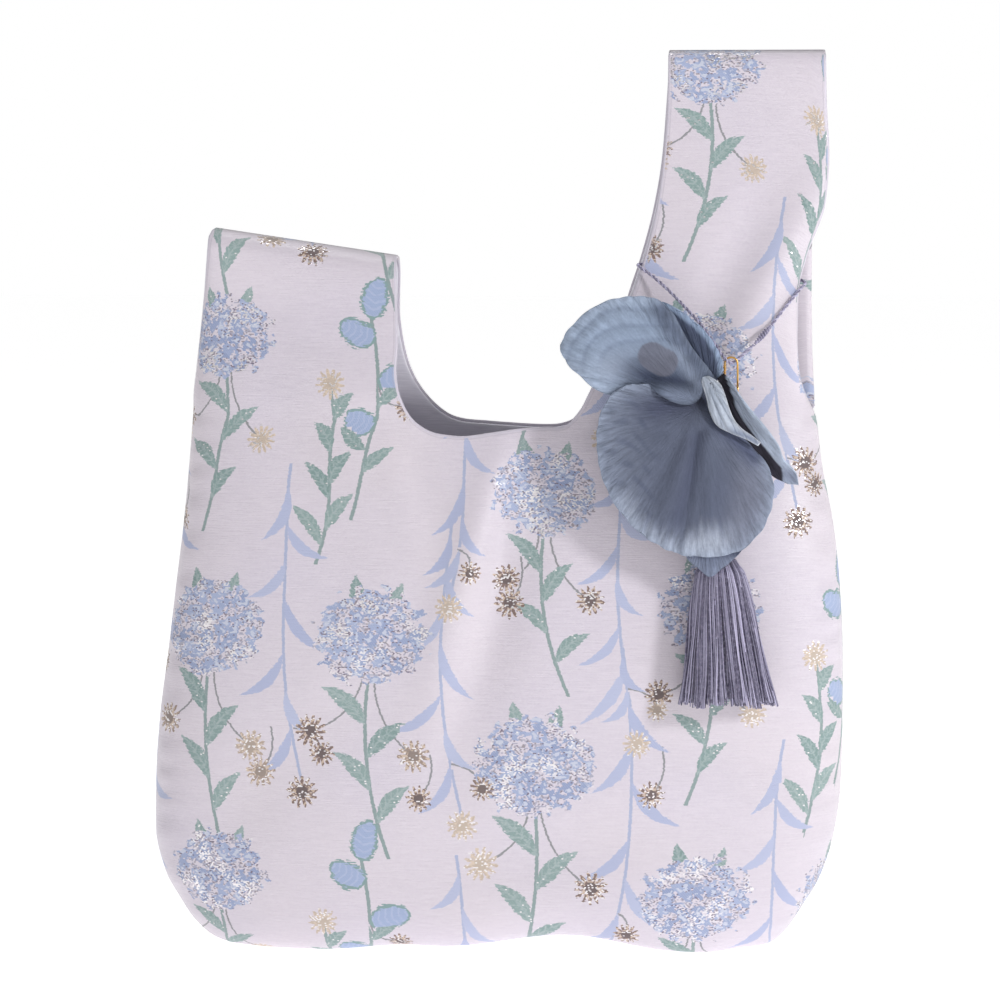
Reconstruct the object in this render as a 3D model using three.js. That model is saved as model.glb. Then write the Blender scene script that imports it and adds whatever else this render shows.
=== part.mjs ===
// Brocade wrist bag with two loop handles and a flower charm. Millimetres, +Z up, the front faces -Y.
// The origin is under the middle of the whole object, on the surface that it stands on. Every piece is worked
// out from the middle of the bottom seam, and the group is moved once at the end.
import * as THREE from "three";

// Sizes of the bag.
const bodyWidth = 240; // across the fullest part of the body
const bodyDepth = 60; // front to back, as it stands filled out
const shoulderHeight = 187; // where the handles leave the body
const neckDip = 6; // the neck's lowest point below the shoulders
const longTop = 315; // fold of the long handle
const shortTop = 252; // fold of the short handle at its outer corner
const shortSlope = 11; // how far that fold falls towards the neck
const baseLift = 6; // the front bottom edge rises this much between the two lobes
const backNeckRise = 1.5; // the back neck edge stands this much higher
const brocadeWall = 1.2;
const liningWall = 1;
const clothGap = 0.3; // between cloth layers, and across every seam

// Sizes of the charm.
const cordDiameter = 1.2;
const knotDiameter = 3.2;
const knotLength = 9;
const wireDiameter = 1;
const eyeWidth = 5.4;
const eyeLength = 19;
const petalSpan = 60; // the shares in the petals' tables are of this
const petalWall = 1;
const skirtLength = 50; // from the neck of the tassel to its longest lock
const tasselWidth = 34; // across the skirt's hem
const tasselHead = 13; // across the head
const headDrop = 46.6; // from the flower's core to the neck of the tassel, hanger and head
const hangerDiameter = 2.4;
const tasselLocks = 14;

const halfWidth = bodyWidth / 2;
const halfDepth = bodyDepth / 2;

// Colours of the solids.
const brocade = { color: 0xd6d0da, roughness: 0.5 };
const lining = { color: 0x9d98a8, roughness: 0.5 };
const petalCloth = { color: 0x6f7c93, roughness: 0.8 };
const silk = { color: 0x857fa6, roughness: 0.5 };
const gold = { color: 0xc8a25a, roughness: 0.3, metalness: 1 };

// Body rows, from the bottom seam to the shoulders. up is a share of shoulderHeight, left and right of
// halfWidth, deep of halfDepth, and lift of baseLift.
const bodyRows = [
  { up: 0, left: 0.7, right: 0.68, deep: 0, lift: 0 },
  { up: 0, left: 0.735, right: 0.715, deep: 0.36, lift: 0 },
  { up: 0, left: 0.77, right: 0.745, deep: 0.62, lift: 0.1 },
  { up: 0.01, left: 0.815, right: 0.785, deep: 0.8, lift: 0.7 },
  { up: 0.036, left: 0.868, right: 0.828, deep: 0.91, lift: 0.95 },
  { up: 0.078, left: 0.915, right: 0.872, deep: 0.97, lift: 0.7 },
  { up: 0.135, left: 0.963, right: 0.925, deep: 0.995, lift: 0.3 },
  { up: 0.214, left: 0.997, right: 0.965, deep: 1, lift: 0.05 },
  { up: 0.31, left: 1, right: 0.986, deep: 1, lift: 0 },
  { up: 0.428, left: 0.99, right: 0.995, deep: 0.985, lift: 0 },
  { up: 0.556, left: 0.967, right: 0.995, deep: 0.955, lift: 0 },
  { up: 0.684, left: 0.944, right: 0.988, deep: 0.91, lift: 0 },
  { up: 0.802, left: 0.92, right: 0.97, deep: 0.85, lift: 0 },
  { up: 0.904, left: 0.905, right: 0.942, deep: 0.775, lift: 0 },
  { up: 1, left: 0.899, right: 0.915, deep: 0.69, lift: 0 },
];

// Columns, as shares of the width from the left side seam to the right one.
const leftColumns = [0, 0.006, 0.025, 0.06, 0.12, 0.22];
const neckColumns = [0.343, 0.375, 0.415, 0.46, 0.505, 0.55, 0.59];
const rightColumns = [0.617, 0.75, 0.86, 0.93, 0.972, 0.993, 1];
const columns = [...leftColumns, ...neckColumns, ...rightColumns];
const neckStart = leftColumns.length;
const neckEnd = neckStart + neckColumns.length;
const squareness = 2.5; // a body section is an oval with this exponent: 2 is an ellipse

// The neck edge between its corners: across is a share of the way, dip a share of neckDip.
const neckCurve = [
  { across: 0, dip: 0 },
  { across: 0.117, dip: 0.62 },
  { across: 0.263, dip: 1 },
  { across: 0.427, dip: 0.86 },
  { across: 0.591, dip: 0.66 },
  { across: 0.755, dip: 0.52 },
  { across: 0.901, dip: 0.4 },
  { across: 1, dip: 0 },
];

// Handle rows, from the shoulders to the fold. up is a share of the handle's rise, outer and inner are shares of
// halfWidth, and outerDeep and innerDeep of halfDepth.
const longFront = [
  { up: 0.055, outer: 0.888, inner: 0.262, outerDeep: 0.1, innerDeep: 0.7 },
  { up: 0.125, outer: 0.866, inner: 0.302, outerDeep: 0.3, innerDeep: 0.71 },
  { up: 0.227, outer: 0.858, inner: 0.35, outerDeep: 0.43, innerDeep: 0.7 },
  { up: 0.344, outer: 0.86, inner: 0.395, outerDeep: 0.44, innerDeep: 0.66 },
  { up: 0.438, outer: 0.88, inner: 0.428, outerDeep: 0.4, innerDeep: 0.6 },
  { up: 0.586, outer: 0.942, inner: 0.459, outerDeep: 0.33, innerDeep: 0.48 },
  { up: 0.71, outer: 0.959, inner: 0.474, outerDeep: 0.27, innerDeep: 0.37 },
  { up: 0.85, outer: 0.957, inner: 0.484, outerDeep: 0.22, innerDeep: 0.27 },
  { up: 0.945, outer: 0.955, inner: 0.489, outerDeep: 0.2, innerDeep: 0.21 },
  { up: 0.985, outer: 0.954, inner: 0.49, outerDeep: 0.16, innerDeep: 0.16 },
  { up: 1, outer: 0.954, inner: 0.49, outerDeep: 0, innerDeep: 0 },
];
const longBack = [
  { up: 0.055, outer: 0.912, inner: 0.235, outerDeep: 0.04, innerDeep: 0.68 },
  { up: 0.125, outer: 0.908, inner: 0.255, outerDeep: 0.08, innerDeep: 0.68 },
  { up: 0.227, outer: 0.904, inner: 0.285, outerDeep: 0.12, innerDeep: 0.66 },
  { up: 0.344, outer: 0.902, inner: 0.335, outerDeep: 0.16, innerDeep: 0.6 },
  { up: 0.438, outer: 0.906, inner: 0.385, outerDeep: 0.18, innerDeep: 0.54 },
  { up: 0.586, outer: 0.92, inner: 0.435, outerDeep: 0.2, innerDeep: 0.44 },
  { up: 0.71, outer: 0.938, inner: 0.461, outerDeep: 0.21, innerDeep: 0.34 },
  { up: 0.85, outer: 0.948, inner: 0.477, outerDeep: 0.22, innerDeep: 0.25 },
  { up: 0.945, outer: 0.953, inner: 0.487, outerDeep: 0.2, innerDeep: 0.21 },
  { up: 0.985, outer: 0.954, inner: 0.49, outerDeep: 0.16, innerDeep: 0.16 },
  { up: 1, outer: 0.954, inner: 0.49, outerDeep: 0, innerDeep: 0 },
];
const shortFront = [
  { up: 0.1, outer: 0.898, inner: 0.296, outerDeep: 0.02, innerDeep: 0.67 },
  { up: 0.25, outer: 0.891, inner: 0.308, outerDeep: 0.05, innerDeep: 0.63 },
  { up: 0.45, outer: 0.88, inner: 0.307, outerDeep: 0.1, innerDeep: 0.56 },
  { up: 0.65, outer: 0.868, inner: 0.305, outerDeep: 0.17, innerDeep: 0.49 },
  { up: 0.8, outer: 0.86, inner: 0.304, outerDeep: 0.24, innerDeep: 0.43 },
  { up: 0.9, outer: 0.856, inner: 0.303, outerDeep: 0.27, innerDeep: 0.37 },
  { up: 0.96, outer: 0.853, inner: 0.302, outerDeep: 0.23, innerDeep: 0.28 },
  { up: 0.99, outer: 0.849, inner: 0.3, outerDeep: 0.13, innerDeep: 0.15 },
  { up: 1, outer: 0.846, inner: 0.299, outerDeep: 0, innerDeep: 0 },
];
const shortBack = [
  { up: 0.1, outer: 0.897, inner: 0.293, outerDeep: 0.04, innerDeep: 0.67 },
  { up: 0.25, outer: 0.888, inner: 0.3, outerDeep: 0.2, innerDeep: 0.64 },
  { up: 0.45, outer: 0.874, inner: 0.3, outerDeep: 0.38, innerDeep: 0.58 },
  { up: 0.65, outer: 0.863, inner: 0.301, outerDeep: 0.42, innerDeep: 0.5 },
  { up: 0.8, outer: 0.857, inner: 0.302, outerDeep: 0.4, innerDeep: 0.43 },
  { up: 0.9, outer: 0.855, inner: 0.303, outerDeep: 0.34, innerDeep: 0.37 },
  { up: 0.96, outer: 0.853, inner: 0.302, outerDeep: 0.25, innerDeep: 0.28 },
  { up: 0.99, outer: 0.849, inner: 0.3, outerDeep: 0.13, innerDeep: 0.15 },
  { up: 1, outer: 0.846, inner: 0.299, outerDeep: 0, innerDeep: 0 },
];

// Soft folds and dents. x is a share of halfWidth and z of shoulderHeight at the middle of the fold, turn is its
// run in degrees from upright, long and wide are shares of halfWidth, and out of halfDepth.
const frontFolds = [
  { x: -0.03, z: 0.72, turn: 11, long: 0.36, wide: 0.085, out: 0.09 },
  { x: 0.07, z: 0.66, turn: 11, long: 0.4, wide: 0.1, out: -0.06 },
  { x: 0.74, z: 0.36, turn: -62, long: 0.3, wide: 0.09, out: -0.08 },
  { x: -0.72, z: 0.3, turn: 40, long: 0.34, wide: 0.12, out: -0.06 },
  { x: 0.15, z: 0.2, turn: 80, long: 0.5, wide: 0.12, out: -0.05 },
  { x: -0.62, z: 0.98, turn: -25, long: 0.3, wide: 0.1, out: -0.06 },
];
const backFolds = [
  { x: 0.1, z: 0.62, turn: -14, long: 0.4, wide: 0.1, out: -0.08 },
  { x: -0.66, z: 0.34, turn: 50, long: 0.34, wide: 0.1, out: -0.07 },
  { x: 0.6, z: 0.26, turn: -48, long: 0.3, wide: 0.1, out: -0.07 },
];

const mix = (a, b, t) => a + (b - a) * t;

// A row's value at a place along a table, on straight lines between the rows.
function tableAt(table, key, at, column) {
  let i = 1;
  while (i < table.length - 1 && table[i][key] < at) i++;
  const t = (at - table[i - 1][key]) / (table[i][key] - table[i - 1][key]);
  return mix(table[i - 1][column], table[i][column], THREE.MathUtils.clamp(t, 0, 1));
}

// How far the folds push the cloth out at a place.
function foldOut(folds, x, z) {
  return folds.reduce((sum, f) => {
    const turn = THREE.MathUtils.degToRad(f.turn);
    const dx = x - f.x * halfWidth;
    const dz = z - f.z * shoulderHeight;
    const along = (dx * Math.sin(turn) + dz * Math.cos(turn)) / (f.long * halfWidth);
    const across = (dx * Math.cos(turn) - dz * Math.sin(turn)) / (f.wide * halfWidth);
    return sum + f.out * halfDepth * Math.exp(-along * along - across * across);
  }, 0);
}

// Depth of a body section at a share of its width, 0 at the side seams and 1 in the middle.
const ovalDepth = (share) =>
  (1 - Math.abs(2 * share - 1) ** squareness) ** (1 / squareness);

// A closed wall from a grid of cells. has(row, column) says which cells are cloth, point(row, column) gives the
// outer surface, inset is how far in the wall starts, and the seam plane y = 0 is kept clear by seamSide.
function clothWall({ rows, cols, has, point, inset, wall, seamSide }) {
  const index = new Map();
  const grid = [];
  const used = (r, c) =>
    [[r - 1, c - 1], [r - 1, c], [r, c - 1], [r, c]].some(
      ([i, j]) => i >= 0 && j >= 0 && i < rows && j < cols && has(i, j),
    );
  for (let r = 0; r <= rows; r++)
    for (let c = 0; c <= cols; c++)
      if (used(r, c)) {
        index.set(r * (cols + 1) + c, grid.length);
        grid.push(point(r, c));
      }
  const at = (r, c) => index.get(r * (cols + 1) + c);
  const faces = [];
  for (let r = 0; r < rows; r++)
    for (let c = 0; c < cols; c++)
      if (has(r, c)) {
        const quad = [at(r, c), at(r, c + 1), at(r + 1, c + 1), at(r + 1, c)];
        faces.push(seamSide > 0 ? quad.reverse() : quad);
      }
  const normals = grid.map(() => new THREE.Vector3());
  for (const q of faces) {
    const a = new THREE.Vector3().subVectors(grid[q[2]], grid[q[0]]);
    const b = new THREE.Vector3().subVectors(grid[q[3]], grid[q[1]]);
    const n = a.cross(b).normalize();
    q.forEach((k) => normals[k].add(n));
  }
  const onSeam = grid.map((p) => seamSide !== 0 && Math.abs(p.y) < 1e-6);
  normals.forEach((n, k) => {
    if (onSeam[k]) n.y = 0;
    n.normalize();
  });
  const layer = (depth) =>
    grid.map((p, k) => {
      const moved = p.clone().addScaledVector(normals[k], -depth);
      if (onSeam[k]) moved.y = (seamSide * clothGap) / 2;
      return moved;
    });
  const outer = layer(inset);
  const inner = layer(inset + wall);
  const count = grid.length;
  const edges = new Map();
  for (const q of faces)
    q.forEach((a, k) => {
      const b = q[(k + 1) % 4];
      if (!edges.delete(b + "," + a)) edges.set(a + "," + b, [a, b]);
    });
  const triangles = [];
  const quadTriangles = (a, b, c, d) => triangles.push(a, b, c, a, c, d);
  for (const [a, b, c, d] of faces) {
    quadTriangles(a, b, c, d);
    quadTriangles(a + count, d + count, c + count, b + count);
  }
  for (const [a, b] of edges.values()) quadTriangles(b, a, a + count, b + count);
  const geometry = new THREE.BufferGeometry();
  geometry.setAttribute(
    "position",
    new THREE.Float32BufferAttribute([...outer, ...inner].flatMap((p) => [p.x, p.y, p.z]), 3),
  );
  geometry.setIndex(triangles);
  geometry.computeVertexNormals();
  return geometry;
}

// A point of one panel's outer surface. side is -1 for the front and 1 for the back.
function panelPoint(side, longHandle, shortHandle, folds) {
  const shoulder = bodyRows.length - 1;
  const last = bodyRows[shoulder];
  const neckLeft = mix(-last.left, last.right, columns[neckStart]);
  const neckRight = mix(-last.left, last.right, columns[neckEnd]);
  const neckRise = side > 0 ? backNeckRise : 0;

  const bodyPoint = (row, share, column) => {
    const x = mix(-row.left, row.right, share) * halfWidth;
    let z = row.up * shoulderHeight;
    if (row === last && column >= neckStart && column <= neckEnd) {
      const across = (share * (last.left + last.right) - last.left - neckLeft) / (neckRight - neckLeft);
      z += neckRise - neckDip * tableAt(neckCurve, "across", across, "dip");
    }
    const middle = Math.exp(-(((x / halfWidth - 0.12) / 0.3) ** 2));
    z += side < 0 ? row.lift * baseLift * middle : 0;
    const depth = row.deep * halfDepth * ovalDepth(share);
    const fold = foldOut(folds, x, z) * ovalDepth(share) * Math.min(1, row.up * 12);
    return new THREE.Vector3(x, side * (depth + fold), z);
  };

  const handlePoint = (sign, top, slope, row, across, startDepth) => {
    const x = sign * mix(row.outer, row.inner, across) * halfWidth;
    const z = mix(shoulderHeight, top - slope * across, row.up);
    const bend = mix(startDepth, Math.sqrt(across), Math.min(1, row.up * 1.6));
    const depth = mix(row.outerDeep, row.innerDeep, bend) * halfDepth;
    const fold = foldOut(folds, x, z) * Math.sin(Math.PI * across) * (1 - row.up);
    return new THREE.Vector3(x, row.up === 1 ? 0 : side * (depth + fold), z);
  };

  return (r, c) => {
    const share = columns[c];
    if (r <= shoulder) return bodyPoint(bodyRows[r], share, c);
    const k = r - shoulder - 1;
    if (c <= neckStart) {
      const row = shortHandle[Math.min(k, shortHandle.length - 1)];
      const across = share / columns[neckStart];
      const startDepth = ovalDepth(share) / ovalDepth(columns[neckStart]);
      return handlePoint(-1, shortTop, shortSlope, row, across, startDepth);
    }
    const row = longHandle[k];
    const across = (1 - share) / (1 - columns[neckEnd]);
    const startDepth = ovalDepth(share) / ovalDepth(columns[neckEnd]);
    return handlePoint(1, longTop, 0, row, across, startDepth);
  };
}

// One cloth layer of a panel, body and both handle halves in one wall.
function panelLayer(side, longHandle, shortHandle, folds, inset, wall) {
  const shoulder = bodyRows.length - 1;
  const has = (r, c) => {
    if (r < shoulder) return true;
    if (c < neckStart) return r - shoulder < shortHandle.length;
    return c >= neckEnd && r - shoulder < longHandle.length;
  };
  return clothWall({
    rows: shoulder + Math.max(longHandle.length, shortHandle.length),
    cols: columns.length - 1,
    has,
    point: panelPoint(side, longHandle, shortHandle, folds),
    inset,
    wall,
    seamSide: side,
  });
}

// Where the charm sits: the flower's root from the middle of the bottom seam, and the rest from that root.
const flowerRoot = new THREE.Vector3(0.6 * halfWidth, -1.2 * halfDepth, shoulderHeight + 10.5);
const fromRoot = (x, y, z) => flowerRoot.clone().add(new THREE.Vector3(x, y, z));
const coreCentre = fromRoot(-1, 2.8, -3.5);
const coreSize = new THREE.Vector3(6, 3, 7); // half sizes
const eyeCentre = fromRoot(8.4, 3.4, 2.1);
const knotCentre = fromRoot(19.1, 14, 18.3);
const knotAxis = new THREE.Vector3(0.58, 0.48, 0.65).normalize();
const tasselTop = coreCentre.clone().add(new THREE.Vector3(2.5, 0.6, -coreSize.z - 0.4));
const tasselNeck = tasselTop.clone().add(new THREE.Vector3(3.1, 1.1, -headDrop));
const tasselHem = tasselNeck.clone().add(new THREE.Vector3(3.4, -2.5, -skirtLength));

// The cord's route between the knot's ends, from the flower's root and chosen by hand: through the eye, up to
// the handle's inner edge, behind its front half and back round the outer edge.
const cordRoute = [
  [16.1, 11.4, 15],
  [13.3, 8.4, 12.7],
  [10.7, 5.6, 10.4],
  [8.4, 3.4, 9.1],
  [6.8, 1.5, 9.7],
  [4.2, 1.6, 12.3],
  [-1.5, 4.7, 18.9],
  [-8, 8.4, 26.3],
  [-14.4, 12, 33.5],
  [-19.4, 14.4, 38.9],
  [-22.6, 15.8, 41.1],
  [-23.5, 18.6, 41.9],
  [-21.4, 21.5, 42.1],
  [-16, 22.6, 41.9],
  [-6, 23.1, 41.3],
  [5, 23.5, 40.3],
  [16, 24.6, 39.1],
  [25, 26.7, 37.9],
  [30, 28.6, 37.1],
  [33, 27.2, 36.3],
  [33.4, 23.8, 35.3],
  [31.6, 21, 33.5],
  [28.6, 19.2, 29.9],
  [25.2, 17.7, 25.7],
  [22.1, 16.2, 21.6],
];

// Petals. Each row joins edge a to edge b: ax, az, bx and bz are the edges' places from the flower's root, aOut and
// bOut how far they stand forward of it, and crown how far the middle of the row bows forward, all as
// shares of petalSpan.
const petals = {
  petal_upper: [
    { ax: -0.04, az: 0.04, bx: -0.085, bz: -0.062, aOut: 0.062, bOut: 0.062, crown: 0.012 },
    { ax: -0.075, az: 0.16, bx: -0.17, bz: -0.056, aOut: 0.085, bOut: 0.085, crown: 0.03 },
    { ax: -0.13, az: 0.31, bx: -0.305, bz: 0, aOut: 0.11, bOut: 0.1, crown: 0.03 },
    { ax: -0.21, az: 0.45, bx: -0.395, bz: 0.028, aOut: 0.13, bOut: 0.11, crown: 0.02 },
    { ax: -0.31, az: 0.513, bx: -0.5, bz: -0.02, aOut: 0.14, bOut: 0.12, crown: 0.01 },
    { ax: -0.45, az: 0.519, bx: -0.615, bz: 0.017, aOut: 0.13, bOut: 0.11, crown: 0.01 },
    { ax: -0.603, az: 0.451, bx: -0.705, bz: 0.09, aOut: 0.1, bOut: 0.09, crown: 0.01 },
    { ax: -0.722, az: 0.35, bx: -0.765, bz: 0.158, aOut: 0.06, bOut: 0.06, crown: 0.005 },
    { ax: -0.784, az: 0.282, bx: -0.795, bz: 0.226, aOut: 0.035, bOut: 0.035, crown: 0 },
  ],
  petal_behind: [
    { ax: 0.1, az: 0.079, bx: 0, bz: 0.03, aOut: 0.028, bOut: 0.028, crown: 0 },
    { ax: 0.085, az: 0.18, bx: -0.085, bz: 0.11, aOut: 0.03, bOut: 0.03, crown: -0.006 },
    { ax: 0.028, az: 0.293, bx: -0.152, bz: 0.226, aOut: 0.04, bOut: 0.025, crown: -0.01 },
    { ax: -0.073, az: 0.4, bx: -0.226, bz: 0.31, aOut: 0.055, bOut: 0.03, crown: -0.01 },
    { ax: -0.186, az: 0.49, bx: -0.3, bz: 0.383, aOut: 0.07, bOut: 0.045, crown: -0.008 },
    { ax: -0.262, az: 0.52, bx: -0.335, bz: 0.44, aOut: 0.075, bOut: 0.06, crown: 0 },
  ],
  petal_lower: [
    { ax: -0.338, az: -0.03, bx: 0, bz: -0.03, aOut: 0.035, bOut: 0.035, crown: 0 },
    { ax: -0.525, az: -0.045, bx: 0.13, bz: -0.102, aOut: 0.04, bOut: 0.03, crown: 0.006 },
    { ax: -0.592, az: -0.18, bx: 0.226, bz: -0.226, aOut: 0.06, bOut: 0.035, crown: 0.04 },
    { ax: -0.603, az: -0.372, bx: 0.31, bz: -0.367, aOut: 0.075, bOut: 0.05, crown: 0.07 },
    { ax: -0.558, az: -0.558, bx: 0.367, bz: -0.519, aOut: 0.08, bOut: 0.07, crown: 0.085 },
    { ax: -0.462, az: -0.716, bx: 0.35, bz: -0.671, aOut: 0.085, bOut: 0.08, crown: 0.075 },
    { ax: -0.338, az: -0.829, bx: 0.282, bz: -0.795, aOut: 0.085, bOut: 0.085, crown: 0.05 },
    { ax: -0.186, az: -0.897, bx: 0.186, bz: -0.885, aOut: 0.085, bOut: 0.085, crown: 0.02 },
    { ax: -0.062, az: -0.925, bx: 0.073, bz: -0.925, aOut: 0.085, bOut: 0.085, crown: 0 },
  ],
  petal_fold: [
    { ax: -0.02, az: 0.075, bx: 0.012, bz: 0.068, aOut: 0.06, bOut: 0.06, crown: 0 },
    { ax: 0.028, az: -0.068, bx: 0.096, bz: -0.023, aOut: 0.08, bOut: 0.1, crown: 0.01 },
    { ax: 0.062, az: -0.175, bx: 0.152, bz: -0.135, aOut: 0.1, bOut: 0.14, crown: 0.012 },
    { ax: 0.152, az: -0.259, bx: 0.19, bz: -0.22, aOut: 0.12, bOut: 0.15, crown: 0.006 },
    { ax: 0.243, az: -0.321, bx: 0.272, bz: -0.285, aOut: 0.125, bOut: 0.145, crown: 0 },
    { ax: 0.31, az: -0.367, bx: 0.338, bz: -0.338, aOut: 0.12, bOut: 0.135, crown: 0 },
    { ax: 0.372, az: -0.462, bx: 0.392, bz: -0.445, aOut: 0.11, bOut: 0.115, crown: 0 },
  ],
  petal_outer: [
    { ax: 0.073, az: 0.102, bx: 0.13, bz: 0.062, aOut: 0, bOut: 0, crown: 0 },
    { ax: 0.13, az: -0.011, bx: 0.22, bz: -0.045, aOut: 0, bOut: 0.04, crown: 0.01 },
    { ax: 0.186, az: -0.141, bx: 0.293, bz: -0.13, aOut: 0.005, bOut: 0.07, crown: 0.016 },
    { ax: 0.243, az: -0.226, bx: 0.361, bz: -0.214, aOut: 0.008, bOut: 0.085, crown: 0.02 },
    { ax: 0.318, az: -0.3, bx: 0.417, bz: -0.3, aOut: 0.02, bOut: 0.085, crown: 0.016 },
    { ax: 0.4, az: -0.383, bx: 0.455, bz: -0.383, aOut: 0.04, bOut: 0.07, crown: 0.01 },
    { ax: 0.44, az: -0.474, bx: 0.508, bz: -0.44, aOut: 0.04, bOut: 0.05, crown: 0 },
    { ax: 0.462, az: -0.508, bx: 0.522, bz: -0.508, aOut: 0.03, bOut: 0.035, crown: 0 },
  ],
  petal_tip: [
    { ax: -0.085, az: -0.85, bx: 0.197, bz: -0.85, aOut: 0.04, bOut: 0.04, crown: 0.004 },
    { ax: -0.096, az: -0.914, bx: 0.186, bz: -0.902, aOut: 0.042, bOut: 0.042, crown: 0.01 },
    { ax: -0.028, az: -0.987, bx: 0.118, bz: -0.97, aOut: 0.045, bOut: 0.045, crown: 0.012 },
    { ax: 0.034, az: -1.032, bx: 0.062, bz: -1.027, aOut: 0.04, bOut: 0.04, crown: 0 },
  ],
};
const petalColumns = 6;

// Tassel rings from the top down. along is a share of the stretch from top to neck, or past 1 from neck to hem.
// wide and deep are half sizes, as shares of the width of the hanger, the head or the hem.
const tasselRings = [
  { along: 0, wide: 0.5, deep: 0.5, size: "hanger" },
  { along: 0.76, wide: 0.5, deep: 0.5, size: "hanger" },
  { along: 0.79, wide: 0.3, deep: 0.3, size: "head" },
  { along: 0.85, wide: 0.46, deep: 0.46, size: "head" },
  { along: 0.93, wide: 0.5, deep: 0.48, size: "head" },
  { along: 1, wide: 0.42, deep: 0.4, size: "head" },
  { along: 1.06, wide: 0.23, deep: 0.19, size: "hem" },
  { along: 1.25, wide: 0.3, deep: 0.22, size: "hem" },
  { along: 1.5, wide: 0.36, deep: 0.225, size: "hem" },
  { along: 1.78, wide: 0.43, deep: 0.23, size: "hem" },
  { along: 2, wide: 0.5, deep: 0.235, size: "hem" },
];
const lockSides = 4; // points round each lock
const lockRelief = 0.1; // how deep the grooves between locks are, as a share of the radius
const lockUneven = 0.045; // how far locks end above the longest, as a share of skirtLength

const bagParts = new THREE.Group();
const materials = new Map();

function addPiece(name, geometry, finish) {
  if (!materials.has(finish)) materials.set(finish, new THREE.MeshStandardMaterial(finish));
  const mesh = new THREE.Mesh(geometry, materials.get(finish));
  mesh.name = name;
  bagParts.add(mesh);
  return mesh;
}

// A closed surface from rings of points, each ring as long as the next, with a point at each end as its cap.
function ringSolid(rings, startCap, endCap) {
  const n = rings[0].length;
  const points = [...rings.flat(), startCap, endCap];
  const start = points.length - 2;
  const end = points.length - 1;
  const triangles = [];
  rings.forEach((ring, i) => {
    for (let k = 0; k < n; k++) {
      const next = (k + 1) % n;
      const a = i * n + k;
      const b = i * n + next;
      if (i === 0) triangles.push(start, b, a);
      if (i === rings.length - 1) triangles.push(end, a, b);
      else triangles.push(a, b, b + n, a, b + n, a + n);
    }
  });
  const geometry = new THREE.BufferGeometry();
  geometry.setAttribute(
    "position",
    new THREE.Float32BufferAttribute(points.flatMap((p) => [p.x, p.y, p.z]), 3),
  );
  geometry.setIndex(triangles);
  geometry.computeVertexNormals();
  return geometry;
}

// The grid of one petal, between its two edges.
function petalGrid(rows) {
  const point = (r, c) => {
    const row = rows[r];
    const t = c / petalColumns;
    const out = mix(row.aOut, row.bOut, t) + row.crown * Math.sin(Math.PI * t);
    return new THREE.Vector3(
      flowerRoot.x + mix(row.ax, row.bx, t) * petalSpan,
      flowerRoot.y - out * petalSpan,
      flowerRoot.z + mix(row.az, row.bz, t) * petalSpan,
    );
  };
  return { rows: rows.length - 1, cols: petalColumns, has: () => true, point };
}

// The tassel: a bound hanger, a round head and a skirt of locks, all one solid.
function tasselGeometry() {
  const around = tasselLocks * lockSides;
  const acrossSize = { hanger: hangerDiameter, head: tasselHead, hem: tasselWidth };
  const axisAt = (along) =>
    along <= 1
      ? tasselTop.clone().lerp(tasselNeck, along)
      : tasselNeck.clone().lerp(tasselHem, along - 1);
  const rings = tasselRings.map((ring) => {
    const centre = axisAt(ring.along);
    const size = acrossSize[ring.size];
    const loose = THREE.MathUtils.clamp(ring.along - 1, 0, 1);
    return Array.from({ length: around }, (_, k) => {
      const angle = (2 * Math.PI * k) / around;
      const lock = Math.floor(k / lockSides);
      const groove = k % lockSides === 0 ? 1 - lockRelief * loose : 1;
      const short = (0.5 + 0.5 * Math.cos(lock * 2.4)) * lockUneven * skirtLength * loose ** 3;
      return new THREE.Vector3(
        centre.x + Math.cos(angle) * ring.wide * size * groove,
        centre.y + Math.sin(angle) * ring.deep * size * groove,
        centre.z + short,
      );
    });
  });
  const hollow = new THREE.Vector3(0, 0, 0.08 * skirtLength);
  return ringSolid(rings.map((ring) => ring.reverse()), tasselTop, tasselHem.clone().add(hollow));
}

// A round wire bent into a long closed eye that stands upright and faces the front.
function eyeGeometry() {
  const wireSides = 6;
  const bends = 20;
  const radius = wireDiameter / 2;
  const arc = eyeWidth / 2 - radius;
  const straight = eyeLength / 2 - radius - arc;
  const positions = [];
  const triangles = [];
  for (let i = 0; i < bends; i++) {
    const angle = (2 * Math.PI * (i + 0.5)) / bends;
    const out = new THREE.Vector3(Math.cos(angle), 0, Math.sin(angle));
    const centre = eyeCentre.clone().addScaledVector(out, arc);
    centre.z += Math.sign(out.z) * straight;
    for (let k = 0; k < wireSides; k++) {
      const turn = (2 * Math.PI * k) / wireSides;
      const p = centre.clone().addScaledVector(out, radius * Math.cos(turn));
      positions.push(p.x, p.y + radius * Math.sin(turn), p.z);
      const a = i * wireSides + k;
      const b = i * wireSides + ((k + 1) % wireSides);
      const c = ((i + 1) % bends) * wireSides + ((k + 1) % wireSides);
      const d = ((i + 1) % bends) * wireSides + k;
      triangles.push(a, b, c, a, c, d);
    }
  }
  const geometry = new THREE.BufferGeometry();
  geometry.setAttribute("position", new THREE.Float32BufferAttribute(positions, 3));
  geometry.setIndex(triangles);
  geometry.computeVertexNormals();
  return geometry;
}

// The cord: an eight-sided tube along its route.
function cordGeometry() {
  const cordSides = 8;
  const section = new THREE.Shape(
    Array.from({ length: cordSides }, (_, k) => {
      const angle = (2 * Math.PI * k) / cordSides;
      return new THREE.Vector2(Math.cos(angle), Math.sin(angle)).multiplyScalar(cordDiameter / 2);
    }),
  );
  const path = new THREE.CatmullRomCurve3(cordRoute.map((p) => fromRoot(...p)));
  return new THREE.ExtrudeGeometry(section, { steps: 64, bevelEnabled: false, extrudePath: path });
}

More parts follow.
